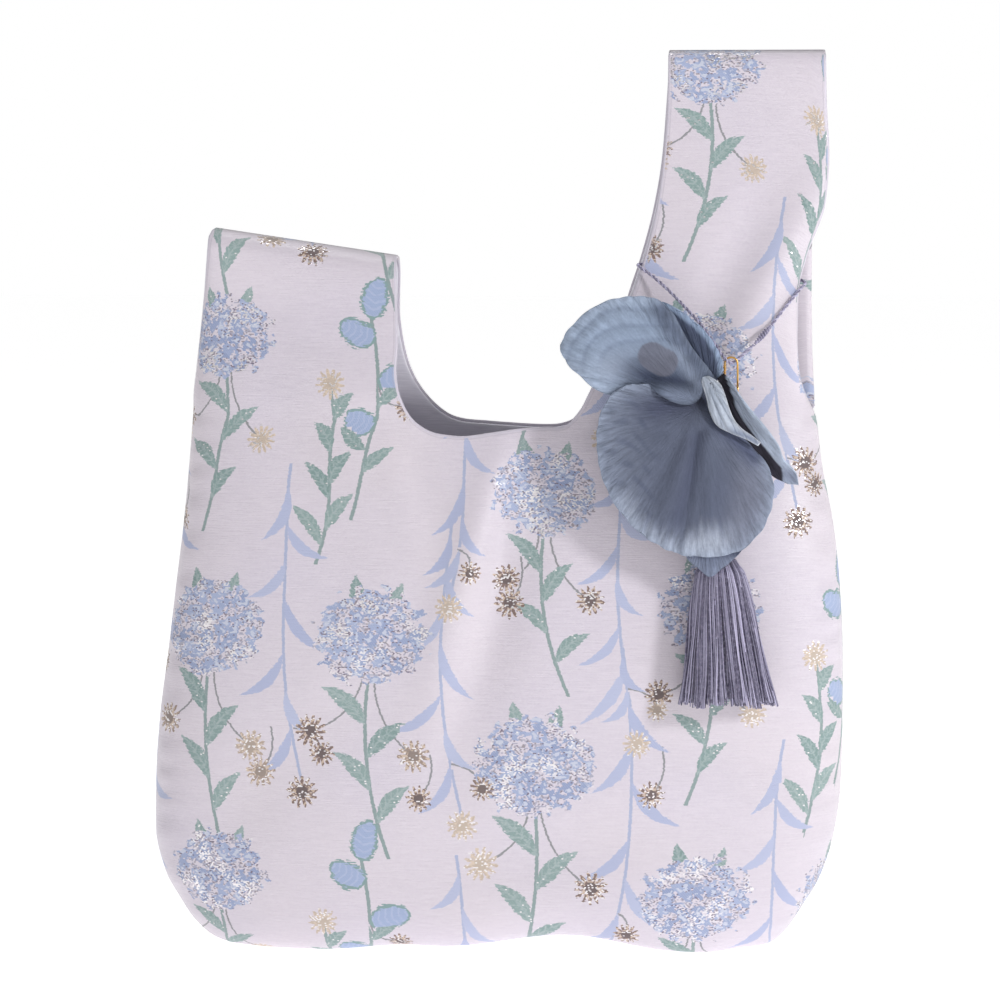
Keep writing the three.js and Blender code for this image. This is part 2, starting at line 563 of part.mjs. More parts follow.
// The knot: a small barrel between the cord's two ends.
function knotGeometry() {
  const across = knotDiameter / 2;
  const half = knotLength / 2;
  const profile = [
    [0, -half],
    [across * 0.6, -half],
    [across * 0.95, -half * 0.75],
    [across, 0],
    [across * 0.95, half * 0.75],
    [across * 0.6, half],
    [0, half],
  ].map(([x, y]) => new THREE.Vector2(x, y));
  const geometry = new THREE.LatheGeometry(profile, 10);
  geometry.applyQuaternion(new THREE.Quaternion().setFromUnitVectors(new THREE.Vector3(0, 1, 0), knotAxis));
  return geometry.translate(knotCentre.x, knotCentre.y, knotCentre.z);
}

const liningInset = brocadeWall + clothGap;
addPiece("front_panel", panelLayer(-1, longFront, shortFront, frontFolds, 0, brocadeWall), brocade);
addPiece("back_panel", panelLayer(1, longBack, shortBack, backFolds, 0, brocadeWall), brocade);
addPiece("front_lining", panelLayer(-1, longFront, shortFront, frontFolds, liningInset, liningWall), lining);
addPiece("back_lining", panelLayer(1, longBack, shortBack, backFolds, liningInset, liningWall), lining);
for (const [name, rows] of Object.entries(petals))
  addPiece(name, clothWall({ ...petalGrid(rows), inset: 0, wall: petalWall, seamSide: 0 }), petalCloth);
addPiece(
  "flower_core",
  new THREE.SphereGeometry(1, 14, 10)
    .scale(coreSize.x, coreSize.y, coreSize.z)
    .translate(coreCentre.x, coreCentre.y, coreCentre.z),
  petalCloth,
);
addPiece("tassel", tasselGeometry(), silk);
addPiece("charm_ring", eyeGeometry(), gold);
addPiece("charm_cord", cordGeometry(), silk);
addPiece("cord_knot", knotGeometry(), silk);

// The origin goes under the middle of everything but the cord and its knot.
const box = new THREE.Box3();
bagParts.children
  .filter((mesh) => !["charm_cord", "cord_knot"].includes(mesh.name))
  .forEach((mesh) => box.expandByObject(mesh));
const middle = box.getCenter(new THREE.Vector3());
bagParts.position.set(-middle.x, -middle.y, -box.min.z);

const bag = new THREE.Group();
bag.add(bagParts);
export default bag;
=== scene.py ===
import math
import bpy
import numpy as np
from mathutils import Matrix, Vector


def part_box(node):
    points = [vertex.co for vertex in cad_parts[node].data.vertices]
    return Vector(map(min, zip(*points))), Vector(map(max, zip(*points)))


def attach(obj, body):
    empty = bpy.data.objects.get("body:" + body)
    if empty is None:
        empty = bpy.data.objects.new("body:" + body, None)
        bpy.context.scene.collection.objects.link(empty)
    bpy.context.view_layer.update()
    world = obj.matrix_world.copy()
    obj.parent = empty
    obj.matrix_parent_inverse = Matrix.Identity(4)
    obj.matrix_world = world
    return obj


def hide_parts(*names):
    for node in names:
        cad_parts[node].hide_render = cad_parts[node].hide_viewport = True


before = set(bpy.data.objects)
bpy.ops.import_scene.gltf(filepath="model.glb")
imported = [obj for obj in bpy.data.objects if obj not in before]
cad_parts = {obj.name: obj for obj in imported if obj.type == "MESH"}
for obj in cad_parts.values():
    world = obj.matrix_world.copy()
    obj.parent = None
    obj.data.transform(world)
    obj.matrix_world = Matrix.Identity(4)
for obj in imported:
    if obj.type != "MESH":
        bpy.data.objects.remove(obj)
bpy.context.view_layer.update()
scene = bpy.context.scene
mm = 0.001

# The bag's own sizes in mm, close to the part's source.
bag = {"halfWidth": 120, "halfDepth": 30, "shoulder": 187, "neckDip": 6, "longTop": 313, "shortTop": 252,
       "shortSlope": 9.5, "baseLift": 6.4, "backNeckRise": 1.5, "sideBulge": 2.6, "wall": 1.2, "lining": 1.0,
       "liningBack": 0.7, "gap": 0.3, "squareness": 2.5, "neckStart": 0.343, "neckEnd": 0.617, "neckPull": 24,
       "backArch": 0.85}
# Every piece is worked out from the middle of the bottom seam, which lies here in the row frame.
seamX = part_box("front_panel")[0][0] + bag["halfWidth"] * mm
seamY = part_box("front_panel")[1][1] + bag["gap"] / 2 * mm
origin = np.array([seamX, seamY, 0.0])

# Camera: near the height of the bag's middle, a little to the right and above.
camera = {"azimuth": 4.0, "elevation": 5.0, "distance": 1.15, "lens": 118.3, "aim": (0, 0, 157)}
azimuth, elevation = math.radians(camera["azimuth"]), math.radians(camera["elevation"])
back = Vector((math.sin(azimuth) * math.cos(elevation), -math.cos(azimuth) * math.cos(elevation),
               math.sin(elevation)))
aim = Vector(origin + np.array(camera["aim"]) * mm)
cameraData = bpy.data.cameras.new("camera")
cameraData.lens = camera["lens"]
cameraData.sensor_width = 36
cameraData.clip_start = 0.05
cameraObject = bpy.data.objects.new("camera", cameraData)
cameraObject.location = aim + back * camera["distance"]
cameraObject.rotation_euler = (-back).to_track_quat("-Z", "Y").to_euler()
scene.collection.objects.link(cameraObject)
scene.camera = cameraObject


# A mesh of points in mm from the middle of the bottom seam, with vectors kept at its points or face corners.
def makeMesh(name, points, faces, material, smooth=True, pointData=None, cornerData=None):
    mesh = bpy.data.meshes.new(name)
    points = np.asarray(points, dtype=np.float64) * mm + origin
    faces = np.asarray(faces, dtype=np.int32)
    mesh.vertices.add(len(points))
    mesh.vertices.foreach_set("co", points.astype(np.float32).ravel())
    size = faces.shape[1]
    mesh.loops.add(faces.size)
    mesh.loops.foreach_set("vertex_index", faces.ravel())
    mesh.polygons.add(len(faces))
    mesh.polygons.foreach_set("loop_start", np.arange(0, faces.size, size, dtype=np.int32))
    mesh.polygons.foreach_set("use_smooth", np.full(len(faces), smooth))
    mesh.update(calc_edges=True)
    mesh.validate()
    for domain, data in (("POINT", pointData), ("CORNER", cornerData)):
        for key, values in (data or {}).items():
            mesh.attributes.new(key, "FLOAT_VECTOR", domain).data.foreach_set(
                "vector", np.asarray(values, dtype=np.float32).ravel())
    mesh.materials.append(material)
    thing = bpy.data.objects.new(name, mesh)
    scene.collection.objects.link(thing)
    return thing


def unit(v):
    return v / np.maximum(np.linalg.norm(v, axis=-1, keepdims=True), 1e-12)


def mix(a, b, t):
    return a + (b - a) * t


def ease(t):
    t = np.clip(t, 0, 1)
    return t * t * (3 - 2 * t)


# Values between the rows of a table, on a curve that rises and falls only where the rows do.
def between(stops, values, at):
    stops, values, at = np.asarray(stops, float), np.asarray(values, float), np.asarray(at, float)
    shape = (-1,) + (1,) * (values.ndim - 1)
    gap = np.diff(stops).reshape(shape)
    rise = np.diff(values, axis=0) / gap
    one, two = 2 * gap[1:] + gap[:-1], gap[1:] + 2 * gap[:-1]
    same = rise[:-1] * rise[1:] > 0
    safe = np.where(same, rise[:-1], 1), np.where(same, rise[1:], 1)
    inner = np.where(same, (one + two) / (one / safe[0] + two / safe[1]), 0)
    slope = np.concatenate([rise[:1], inner, rise[-1:]])
    i = np.clip(np.searchsorted(stops, at, side="right") - 1, 0, len(stops) - 2)
    h = (stops[i + 1] - stops[i]).reshape(shape)
    t = ((at - stops[i]) / (stops[i + 1] - stops[i])).reshape(shape)
    return (values[i] * (1 + 2 * t) * (1 - t) ** 2 + slope[i] * h * t * (1 - t) ** 2
            + values[i + 1] * t * t * (3 - 2 * t) + slope[i + 1] * h * t * t * (t - 1))


# A curve through points, with its speed set by the roots of their distances.
def throughPoints(points, steps):
    p = np.asarray(points, float)
    p = np.concatenate([[2 * p[0] - p[1]], p, [2 * p[-1] - p[-2]]])
    spots = np.linspace(0, len(p) - 3, steps)
    i = np.minimum(spots.astype(int), len(p) - 4)
    w = spots - i
    a, b, c, d = p[i], p[i + 1], p[i + 2], p[i + 3]
    t1 = np.sqrt(np.linalg.norm(b - a, axis=1))[:, None]
    t2 = t1 + np.sqrt(np.linalg.norm(c - b, axis=1))[:, None]
    t3 = t2 + np.sqrt(np.linalg.norm(d - c, axis=1))[:, None]
    t = t1 + (t2 - t1) * w[:, None]
    a1 = a * (t1 - t) / t1 + b * t / t1
    a2 = b * (t2 - t) / (t2 - t1) + c * (t - t1) / (t2 - t1)
    a3 = c * (t3 - t) / (t3 - t2) + d * (t - t2) / (t3 - t2)
    b1 = a1 * (t2 - t) / t2 + a2 * t / t2
    b2 = a2 * (t3 - t) / (t3 - t1) + a3 * (t - t1) / (t3 - t1)
    return b1 * (t2 - t) / (t2 - t1) + b2 * (t - t1) / (t2 - t1)


# Frames that turn as little as they can along a path: the path's direction and two across it.
def pathFrames(path):
    along = unit(np.gradient(path, axis=0))
    across = np.empty_like(along)
    across[0] = unit(np.cross(along[0], [0.3, 0.9, 0.2]))
    for i in range(1, len(path)):
        across[i] = unit(across[i - 1] - along[i] * np.dot(across[i - 1], along[i]))
    return along, across, np.cross(along, across)


# The running length along a line of points.
def runOf(points):
    return np.concatenate([[0], np.cumsum(np.linalg.norm(np.diff(points, axis=0), axis=1))])


# Triangles between rings of points, closed at both ends with a point that follows the rings.
def ringFaces(steps, sides):
    i, k = np.arange(steps - 1)[:, None] * sides, np.arange(sides)
    after = (k + 1) % sides
    quads = np.stack([i + k, i + after, i + sides + after, i + sides + k], -1).reshape(-1, 4)
    last, start = (steps - 1) * sides, np.full(sides, steps * sides)
    return np.concatenate([quads[:, [[0, 1, 2], [0, 2, 3]]].reshape(-1, 3), np.stack([start, after, k], -1),
                           np.stack([start + 1, last + k, last + after], -1)])


# Tubes about paths, n x steps x 3, each radius a number or n x steps.
def tubes(paths, radius, sides):
    n, steps = paths.shape[:2]
    radius = np.broadcast_to(radius, (n, steps))[..., None, None]
    turns = np.arange(sides)[None, :, None] * 2 * math.pi / sides
    points = []
    for path, wide in zip(paths, radius):
        along, one, two = pathFrames(path)
        ring = one[:, None] * np.cos(turns) + two[:, None] * np.sin(turns)
        points += [(path[:, None] + ring * wide).reshape(-1, 3), path[[0, -1]]]
    faces = ringFaces(steps, sides)[None] + (np.arange(n) * (steps * sides + 2))[:, None, None]
    return np.concatenate(points), faces.reshape(-1, 3)


# Node helpers. They draw in the tree that was opened last. A value is a number, a colour or another node's output.
drawing = {"tree": None}


# A node's output that takes part in sums: each of a + b, a * b, a < b and the like adds a Math node.
class output:
    def __init__(self, socket):
        self.socket = socket

    def __add__(self, other):
        return calc("ADD", self, other)

    def __sub__(self, other):
        return calc("SUBTRACT", self, other)

    def __rsub__(self, other):
        return calc("SUBTRACT", other, self)

    def __mul__(self, other):
        return calc("MULTIPLY", self, other)

    def __floordiv__(self, other):
        return calc("FLOOR", calc("DIVIDE", self, other))

    def __lt__(self, other):
        return calc("LESS_THAN", self, other)

    def __gt__(self, other):
        return calc("GREATER_THAN", self, other)

    def __abs__(self):
        return calc("ABSOLUTE", self)


def feed(value, socket):
    if isinstance(value, output):
        drawing["tree"].links.new(value.socket, socket)
    else:
        socket.default_value = value


def feedAll(sockets, values):
    for key, value in values.items():
        feed(value, sockets[key])


def addNode(kind, **facts):
    node = drawing["tree"].nodes.new("ShaderNode" + kind)
    for key, value in facts.items():
        setattr(node, key, value)
    return node


# Feeds the values to the node's first sockets and gives its first output.
def fed(node, *values):
    for value, socket in zip(values, node.inputs):
        feed(value, socket)
    return output(node.outputs[0])


def calc(operation, *values):
    return fed(addNode("Math", operation=operation), *values)


def most(first, *others):
    for other in others:
        first = calc("MAXIMUM", first, other)
    return first


# The colour a where the share is 0 and b where it is 1.
def blend(share, a, b):
    node = addNode("Mix", data_type="RGBA")
    for value, place in ((share, 0), (a, 6), (b, 7)):
        feed(value, node.inputs[place])
    return output(node.outputs[2])


# Colours laid one over another, each by its own share.
def layered(base, *layers):
    for share, tone in layers:
        base = blend(share, base, tone)
    return base


def remap(value, low, high, toLow=0.0, toHigh=1.0, soft=True):
    kind = "SMOOTHSTEP" if soft else "LINEAR"
    return fed(addNode("MapRange", interpolation_type=kind), value, low, high, toLow, toHigh)


def attribute(name):
    return output(addNode("Attribute", attribute_name=name).outputs["Vector"])


def objectPlace():
    return output(addNode("TexCoord").outputs["Object"])


def split(vector):
    node = addNode("SeparateXYZ")
    feed(vector, node.inputs[0])
    return [output(socket) for socket in node.outputs]


def join(x, y, z=0.0):
    return fed(addNode("CombineXYZ"), x, y, z)


def noise(vector, scale, detail=2.0, rough=0.5, flat=False):
    node = addNode("TexNoise", noise_dimensions="2D" if flat else "3D")
    feedAll(node.inputs, {"Vector": vector, "Scale": scale, "Detail": detail, "Roughness": rough})
    return output(node.outputs["Fac"])


def cells(vector, scale):
    node = addNode("TexVoronoi", voronoi_dimensions="2D")
    feedAll(node.inputs, {"Vector": vector, "Scale": scale})
    return output(node.outputs["Distance"]), output(node.outputs["Color"])


def chance(vector):
    node = addNode("TexWhiteNoise", noise_dimensions="3D")
    feed(vector, node.inputs["Vector"])
    return output(node.outputs["Value"])


def newMaterial(name):
    material = bpy.data.materials.new(name)
    material.use_nodes = True
    drawing["tree"] = material.node_tree
    return material, material.node_tree.nodes["Principled BSDF"]


def bump(shader, height, depth, strength):
    node = addNode("Bump")
    feedAll(node.inputs, {"Height": height, "Distance": depth, "Strength": strength})
    feed(output(node.outputs["Normal"]), shader.inputs["Normal"])


def colour(r, g, b):
    return tuple((v / 255 / 12.92 if v <= 10 else ((v / 255 + 0.055) / 1.055) ** 2.4) for v in (r, g, b)) + (1.0,)


# Stands a piece in for a CAD node: hides the node and sets the piece on the body that it rides on.
def declare(piece, node):
    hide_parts(node)
    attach(piece, "root")


# Silk thread: fine lines along each strand, from the piece's own place in space.
silkMaterial, shader = newMaterial("silk")
hairs = noise(objectPlace(), 900.0, 3.0, 0.6)
base = layered(blend(split(attribute("strand"))[0], colour(54, 47, 78), colour(190, 185, 213)),
               (remap(hairs, 0.35, 0.85, 0.0, 0.45), colour(196, 190, 216)))
feedAll(shader.inputs, {"Base Color": base, "Roughness": 0.36, "Sheen Weight": 0.15})
bump(shader, hairs, 0.0002, 0.4)


# The tint of each point's strand, as the silk reads it.
def strandTint(tint):
    return {"strand": np.repeat(tint[:, None], 3, axis=1)}


# The charm's cord: two plies of thread, twisted, on the route of the part's source, a little higher on the handle.
cord = {"diameter": 1.2, "twist": 3.4, "plyOut": 0.31, "ply": 0.30, "sides": 7, "steps": 900,
        "tints": (0.35, 0.75)}
flowerRoot = np.array([72.0, -36.0, 197.5])
cordRoute = flowerRoot + np.array([
    [16.1, 11.4, 15], [13.3, 8.4, 12.7], [10.7, 5.6, 10.4], [8.4, 3.4, 9.1], [6.8, 1.3, 10.2], [4.2, 1.4, 13.7],
    [-1.5, 4.5, 21.6], [-8, 8.2, 28.6], [-14.4, 11.8, 34.8], [-19.4, 14.4, 38.9], [-22.6, 15.8, 41.1],
    [-23.5, 18.6, 41.9], [-21.4, 21.5, 42.1], [-16, 22.6, 41.9], [-6, 23.1, 41.3], [5, 23.5, 40.3],
    [16, 24.6, 39.1], [25, 26.7, 37.9], [30, 28.6, 37.1], [33, 27.2, 36.3], [33.4, 23.8, 35.3], [31.6, 21, 33.5],
    [28.6, 19.2, 29.9], [25.2, 17.7, 25.7], [22.1, 16.2, 21.6]])
cordPath = throughPoints(cordRoute, cord["steps"])
cordRun = runOf(cordPath)
along, one, two = pathFrames(cordPath)
turn = cordRun * 2 * math.pi / cord["twist"]
plies = [cordPath + cord["plyOut"] * (one * np.cos(turn + k)[:, None] + two * np.sin(turn + k)[:, None])
         for k in (0, math.pi)]
points, faces = tubes(np.array(plies), cord["ply"], cord["sides"])
charmCord = makeMesh("charm_cord_plies", points, faces, silkMaterial,
                     pointData=strandTint(np.repeat(cord["tints"], len(points) // 2)))
declare(charmCord, "charm_cord")

# The knot: one ply wound round both ends of the cord, as far out as belly times a power of sin(share).
knot = {"centre": flowerRoot + [19.1, 14, 18.3], "axis": unit(np.array([0.58, 0.48, 0.65])), "length": 9.0,
        "turns": 7, "belly": 0.78, "ply": 0.34, "core": 0.5, "steps": 260, "tint": 0.45}
side = unit(np.cross(knot["axis"], [0, 0, 1]))
up = np.cross(side, knot["axis"])
t = np.linspace(0, 1, knot["steps"])[:, None]
belly = knot["belly"] * np.sin(np.pi * (0.1 + 0.8 * t)) ** 0.7
wind = t * knot["turns"] * 2 * math.pi
winding = (knot["centre"] + knot["axis"] * (t - 0.5) * (knot["length"] - cord["diameter"])
           + side * belly * np.cos(wind) + up * belly * np.sin(wind))
core = knot["centre"] + knot["axis"] * (t - 0.5) * knot["length"]
points, faces = tubes(np.array([winding, core]), np.array([[knot["ply"]], [knot["core"]]]), 8)
cordKnot = makeMesh("cord_knot_wound", points, faces, silkMaterial,
                    pointData=strandTint(np.full(len(points), knot["tint"])))
declare(cordKnot, "cord_knot")
pathPoints = cordPath[::12] * mm + origin
print("cord and knot", round(cordRun[-1], 1), "mm")

# The bag's tables, as in the part's source: body rows, neck, handle rows and folds.
bodyRows = np.array([  # up, left, right, deep, lift
    [0, 0.74, 0.69, 0, 0.8], [0, 0.775, 0.725, 0.36, 0.82], [0, 0.81, 0.757, 0.62, 0.86], [0.01, 0.85, 0.8, 0.8, 0.9],
    [0.036, 0.9, 0.842, 0.91, 0.95], [0.078, 0.945, 0.885, 0.97, 0.7], [0.135, 0.993, 0.937, 0.995, 0.3],
    [0.214, 1.019, 0.976, 1, 0.05], [0.31, 1.017, 0.996, 1, 0], [0.428, 1.004, 1, 0.985, 0],
    [0.556, 0.977, 0.999, 0.955, 0], [0.684, 0.952, 0.989, 0.91, 0], [0.802, 0.928, 0.968, 0.85, 0],
    [0.904, 0.912, 0.936, 0.775, 0], [1, 0.899, 0.915, 0.69, 0]])
neckCurve = np.array([[0, 0], [0.117, 0.62], [0.263, 1], [0.427, 0.86], [0.591, 0.66], [0.755, 0.52], [0.901, 0.4],
                      [1, 0]])  # across, dip
longFront = np.array([  # up, outer, inner, outerDeep, innerDeep
    [0.055, 0.888, 0.262, 0.1, 0.7], [0.125, 0.866, 0.302, 0.3, 0.71], [0.227, 0.858, 0.35, 0.43, 0.7],
    [0.344, 0.86, 0.395, 0.44, 0.66], [0.438, 0.882, 0.428, 0.4, 0.6], [0.586, 0.934, 0.463, 0.33, 0.48],
    [0.71, 0.943, 0.479, 0.27, 0.37], [0.85, 0.934, 0.488, 0.22, 0.27], [0.945, 0.931, 0.49, 0.2, 0.21],
    [0.985, 0.93, 0.49, 0.16, 0.16], [1, 0.93, 0.49, 0, 0]])
longBack = np.array([
    [0.055, 0.912, 0.262, 0.04, 0.68], [0.125, 0.908, 0.3, 0.08, 0.68], [0.227, 0.904, 0.34, 0.12, 0.66],
    [0.344, 0.902, 0.377, 0.16, 0.6], [0.438, 0.902, 0.41, 0.18, 0.54], [0.586, 0.91, 0.45, 0.2, 0.44],
    [0.71, 0.92, 0.471, 0.21, 0.34], [0.85, 0.926, 0.483, 0.22, 0.25], [0.945, 0.929, 0.489, 0.2, 0.21],
    [0.985, 0.93, 0.49, 0.16, 0.16], [1, 0.93, 0.49, 0, 0]])
shortFront = np.array([
    [0.1, 0.898, 0.29, 0.02, 0.67], [0.25, 0.888, 0.292, 0.05, 0.63], [0.45, 0.873, 0.293, 0.1, 0.56],
    [0.65, 0.858, 0.294, 0.17, 0.5], [0.8, 0.847, 0.295, 0.26, 0.45], [0.9, 0.84, 0.297, 0.3, 0.4],
    [0.96, 0.836, 0.298, 0.26, 0.3], [0.99, 0.831, 0.3, 0.14, 0.16], [1, 0.828, 0.299, 0, 0]])
shortBack = np.array([
    [0.1, 0.897, 0.3, 0.04, 0.67], [0.25, 0.886, 0.309, 0.2, 0.64], [0.45, 0.868, 0.308, 0.38, 0.58],
    [0.65, 0.853, 0.307, 0.42, 0.5], [0.8, 0.843, 0.305, 0.4, 0.43], [0.9, 0.838, 0.303, 0.34, 0.37],
    [0.96, 0.835, 0.302, 0.25, 0.28], [0.99, 0.831, 0.3, 0.13, 0.15], [1, 0.828, 0.299, 0, 0]])
# How the bottom edge arches up: place, width and height as shares.
baseArches = [(0.15, 0.27, 1), (0.26, 0.17, 0.33), (-0.29, 0.14, 0.4), (0.72, 0.07, 0.25)]
# The back's long-handle margin curls forward: its width and radius in mm, and from where to where up the handle.
curl = {"margin": 10.5, "radius": 2.0, "low": 0.07, "high": 0.62, "fade": 0.12}
# Puckers along the side seams: height, reach and start in mm, and waves in radians per mm and radians.
pucker = {"high": 0.45, "reach": 11, "start": 3, "wave": 0.55, "slow": 0.11, "sway": 1.6}
# Folds: x and z of the middle in mm, run in degrees from upright, long and wide and out in mm.
frontFolds = np.array([
    [-8.5, 136, 15, 43, 9, 4], [2.5, 124, 16, 48, 10, -3.2], [2.5, 151, 8, 24, 4.5, -1.8],
    [89, 67, -62, 36, 11, -2.4], [-86, 56, 40, 41, 14, -1.8], [18, 37, 80, 60, 14, -1.5],
    [-74, 183, -25, 36, 12, -1.8], [100, 244, 29, 38, 8, 5.5], [84, 246, 29, 40, 10, -2.8],
    [-25, 166, -32, 18, 5, -0.9], [-33, 158, -20, 20, 6, 0.7], [30, 168, 30, 16, 5, -0.8],
    [-62, 205, -70, 30, 6, 0.8], [95, 52, -66, 26, 7, 1], [-52, 108, 35, 40, 12, 0.9]])
backFolds = np.array([
    [12, 116, -14, 48, 12, -2.4], [-79, 64, 50, 41, 12, -2.1], [72, 49, -48, 36, 12, -2.1]])
# The neck's free edge from the short handle round to the long one, x and z in mm.
frontNeck = np.array([
    [-35.2, 236], [-35, 227], [-34.7, 212], [-35, 201.5], [-33.4, 193.8], [-30.2, 187.4], [-26.8, 184.2],
    [-22, 181.6], [-17.2, 180.7], [-10.9, 180.3], [-1.6, 181.6], [7.6, 182.9], [17.6, 183.6], [22.4, 183.6],
    [25.1, 184.7], [27.5, 187.2], [29.9, 190.3], [31.7, 194], [33.9, 198.4], [38, 206], [42, 216]])
backNeck = np.array([
    [-36.7, 236], [-37, 228], [-37, 221], [-35.8, 211], [-33.6, 202.5], [-29.7, 195], [-24.7, 189.4], [-19.2, 185.4],
    [-14.1, 183.9], [-6, 183.2], [0.4, 182.7], [13.8, 182], [20, 182.3], [24.5, 183.8], [28.5, 187], [31.5, 191.5],
    [34, 197], [37.2, 205], [40.8, 216]])


# How deep a body section is at a share of its width: 0 at the side seams and 1 in the middle.
def oval(share):
    q = bag["squareness"]
    return np.maximum(1 - np.abs(2 * share - 1) ** q, 0) ** (1 / q)


# Folds stand out by height times exp(-(along / long) squared - (across / wide) squared).
def foldOut(folds, x, z):
    out = np.zeros_like(x)
    for fx, fz, turn, long, wide, high in folds:
        s, c = math.sin(math.radians(turn)), math.cos(math.radians(turn))
        dx, dz = x - fx, z - fz
        out += high * np.exp(-((dx * s + dz * c) / long) ** 2 - ((dx * c - dz * s) / wide) ** 2)
    return out


# Columns evenly spaced along a section, in the three parts between the side seams and the neck's corners.
counts = (50, 36, 54)
neckLeft, neckRight, lastColumn = counts[0], counts[0] + counts[1], sum(counts)
dense = np.linspace(0, 1, 4001) ** 2 * 0.5
dense = np.concatenate([dense, 1 - dense[-2::-1]])
run = runOf(np.stack([dense * 2 * bag["halfWidth"], oval(dense) * bag["halfDepth"]], 1))
stops = np.interp([0, bag["neckStart"], bag["neckEnd"], 1], dense, run)
columns = np.concatenate([np.interp(np.linspace(stops[k], stops[k + 1], counts[k] + 1)[(k > 0):], run, dense)
                          for k in range(3)])
# The body's rows by their length up the cloth in mm, and how far apart the grid's rows lie between them.
stopsUp = np.concatenate([[0], np.cumsum([9, 7, 6, 6.5, 8, 10.5, 14.5, 18, 22, 24, 24, 22, 19, 18])])
bodyStep = 1.75
# The handles: side, top and its slope in mm, columns, share of the section where the neck begins, row spacing.
handles = {
    "long": {"sign": 1, "top": bag["longTop"], "slope": 0, "first": neckRight, "last": lastColumn,
             "inner": bag["neckEnd"], "step": 1.75},
    "short": {"sign": -1, "top": bag["shortTop"], "slope": bag["shortSlope"], "first": 0, "last": neckLeft,
              "inner": bag["neckStart"], "step": 1.5}}


def fine(stops, step):
    return np.unique(np.concatenate([np.linspace(a, b, max(2, int(round((b - a) / step)) + 1))
                                     for a, b in zip(stops[:-1], stops[1:])]))


# The body's rows: x is the share of the row's width, y the row's depth by the oval, and z its height with the
# neck's dip and the arches of the bottom edge. side is -1 in front and 1 behind.
def bodySections(side):
    half = bag["halfWidth"]
    up, left, right, deep, lift = bodyRows.T[:, :, None]
    share = columns[None]
    x = (-left + share * (left + right)) * half
    z = np.repeat(up * bag["shoulder"], len(columns), axis=1)
    a, b = ((-left[-1] + bag[k] * (left[-1] + right[-1])) * half for k in ("neckStart", "neckEnd"))
    across = (x[-1] - a) / (b - a)
    inNeck = (across >= -1e-6) & (across <= 1 + 1e-6)
    dip = between(neckCurve[:, 0], neckCurve[:, 1], np.clip(across, 0, 1))
    edge = np.minimum(1, np.minimum(across, 1 - across) / 0.06)
    z[-1] += np.where(inNeck, (bag["backNeckRise"] if side > 0 else 0) * edge - bag["neckDip"] * dip, 0)
    arch = sum(high * np.exp(-((x / half - at) / wide) ** 2) for at, wide, high in baseArches)
    z += lift * bag["baseLift"] * arch * (1 if side < 0 else bag["backArch"])
    if side > 0:  # the back bulges a little past the right side seam
        rim = (1 - share) / 0.035
        x = x + bag["sideBulge"] * rim * np.exp(1 - rim) * ease(up * 3 - 0.6)
    return np.stack([x, side * deep * bag["halfDepth"] * oval(share), z], -1)


# A handle's rows, which bend from their outer to their inner edge's depth, and their places in the flat handle:
# across it, up it, and the share of the section. These start with the shoulder's row.
def handleSections(handle, rows, side):
    sign, inner = handle["sign"], handle["inner"]
    shares = columns[handle["first"]:handle["last"] + 1]
    even = np.linspace(0, 1, len(shares))[::-sign]
    own = shares / inner if sign < 0 else (1 - shares) / (1 - inner)
    result, flat = [], [np.stack([own, shares * 0, shares], -1)]
    for high, outer, near, outerDeep, innerDeep in rows:
        across = mix(own, even, min(1, high * 2.2))
        slid = across * inner if sign < 0 else 1 - across * (1 - inner)
        bend = mix(oval(slid) / oval(np.array(inner)), np.sqrt(across), min(1, high * 1.6))
        x = sign * (outer + (near - outer) * across) * bag["halfWidth"]
        y = side * (outerDeep + (innerDeep - outerDeep) * bend) * bag["halfDepth"]
        z = bag["shoulder"] + (handle["top"] - handle["slope"] * across - bag["shoulder"]) * high
        result.append(np.stack([x, y, z], -1))
        flat.append(np.stack([across, np.full(len(across), high), slid], -1))
    return np.array(result), np.array(flat)


# Folds, and puckers along the side seams: a wave up the seam that fades with exp(-(distance / reach) squared).
# The folds show neither at the side seams nor at the base or the handles' top folds.
def addRelief(grid, flat, side, folds):
    across, up, share = (flat[..., k] for k in range(3))
    inBody = oval(share) * np.minimum(1, np.nan_to_num(grid[..., 2]) / bag["shoulder"] * 12)
    inHandle = np.sin(np.pi * np.clip(across, 0, 1)) * (1 - up)
    grid[..., 1] += side * mix(inBody, inHandle, ease(up / 0.25)) * foldOut(folds, grid[..., 0], grid[..., 2])
    fromSeam = np.minimum(share, 1 - share) * 2 * bag["halfWidth"]
    wave = np.sin(grid[..., 2] * pucker["wave"] + pucker["sway"] * np.sin(grid[..., 2] * pucker["slow"]))
    wave *= np.exp(-(fromSeam / pucker["reach"]) ** 2) * np.minimum(1, fromSeam / pucker["start"])
    grid[..., 1] += side * pucker["high"] * wave * (up <= 0)


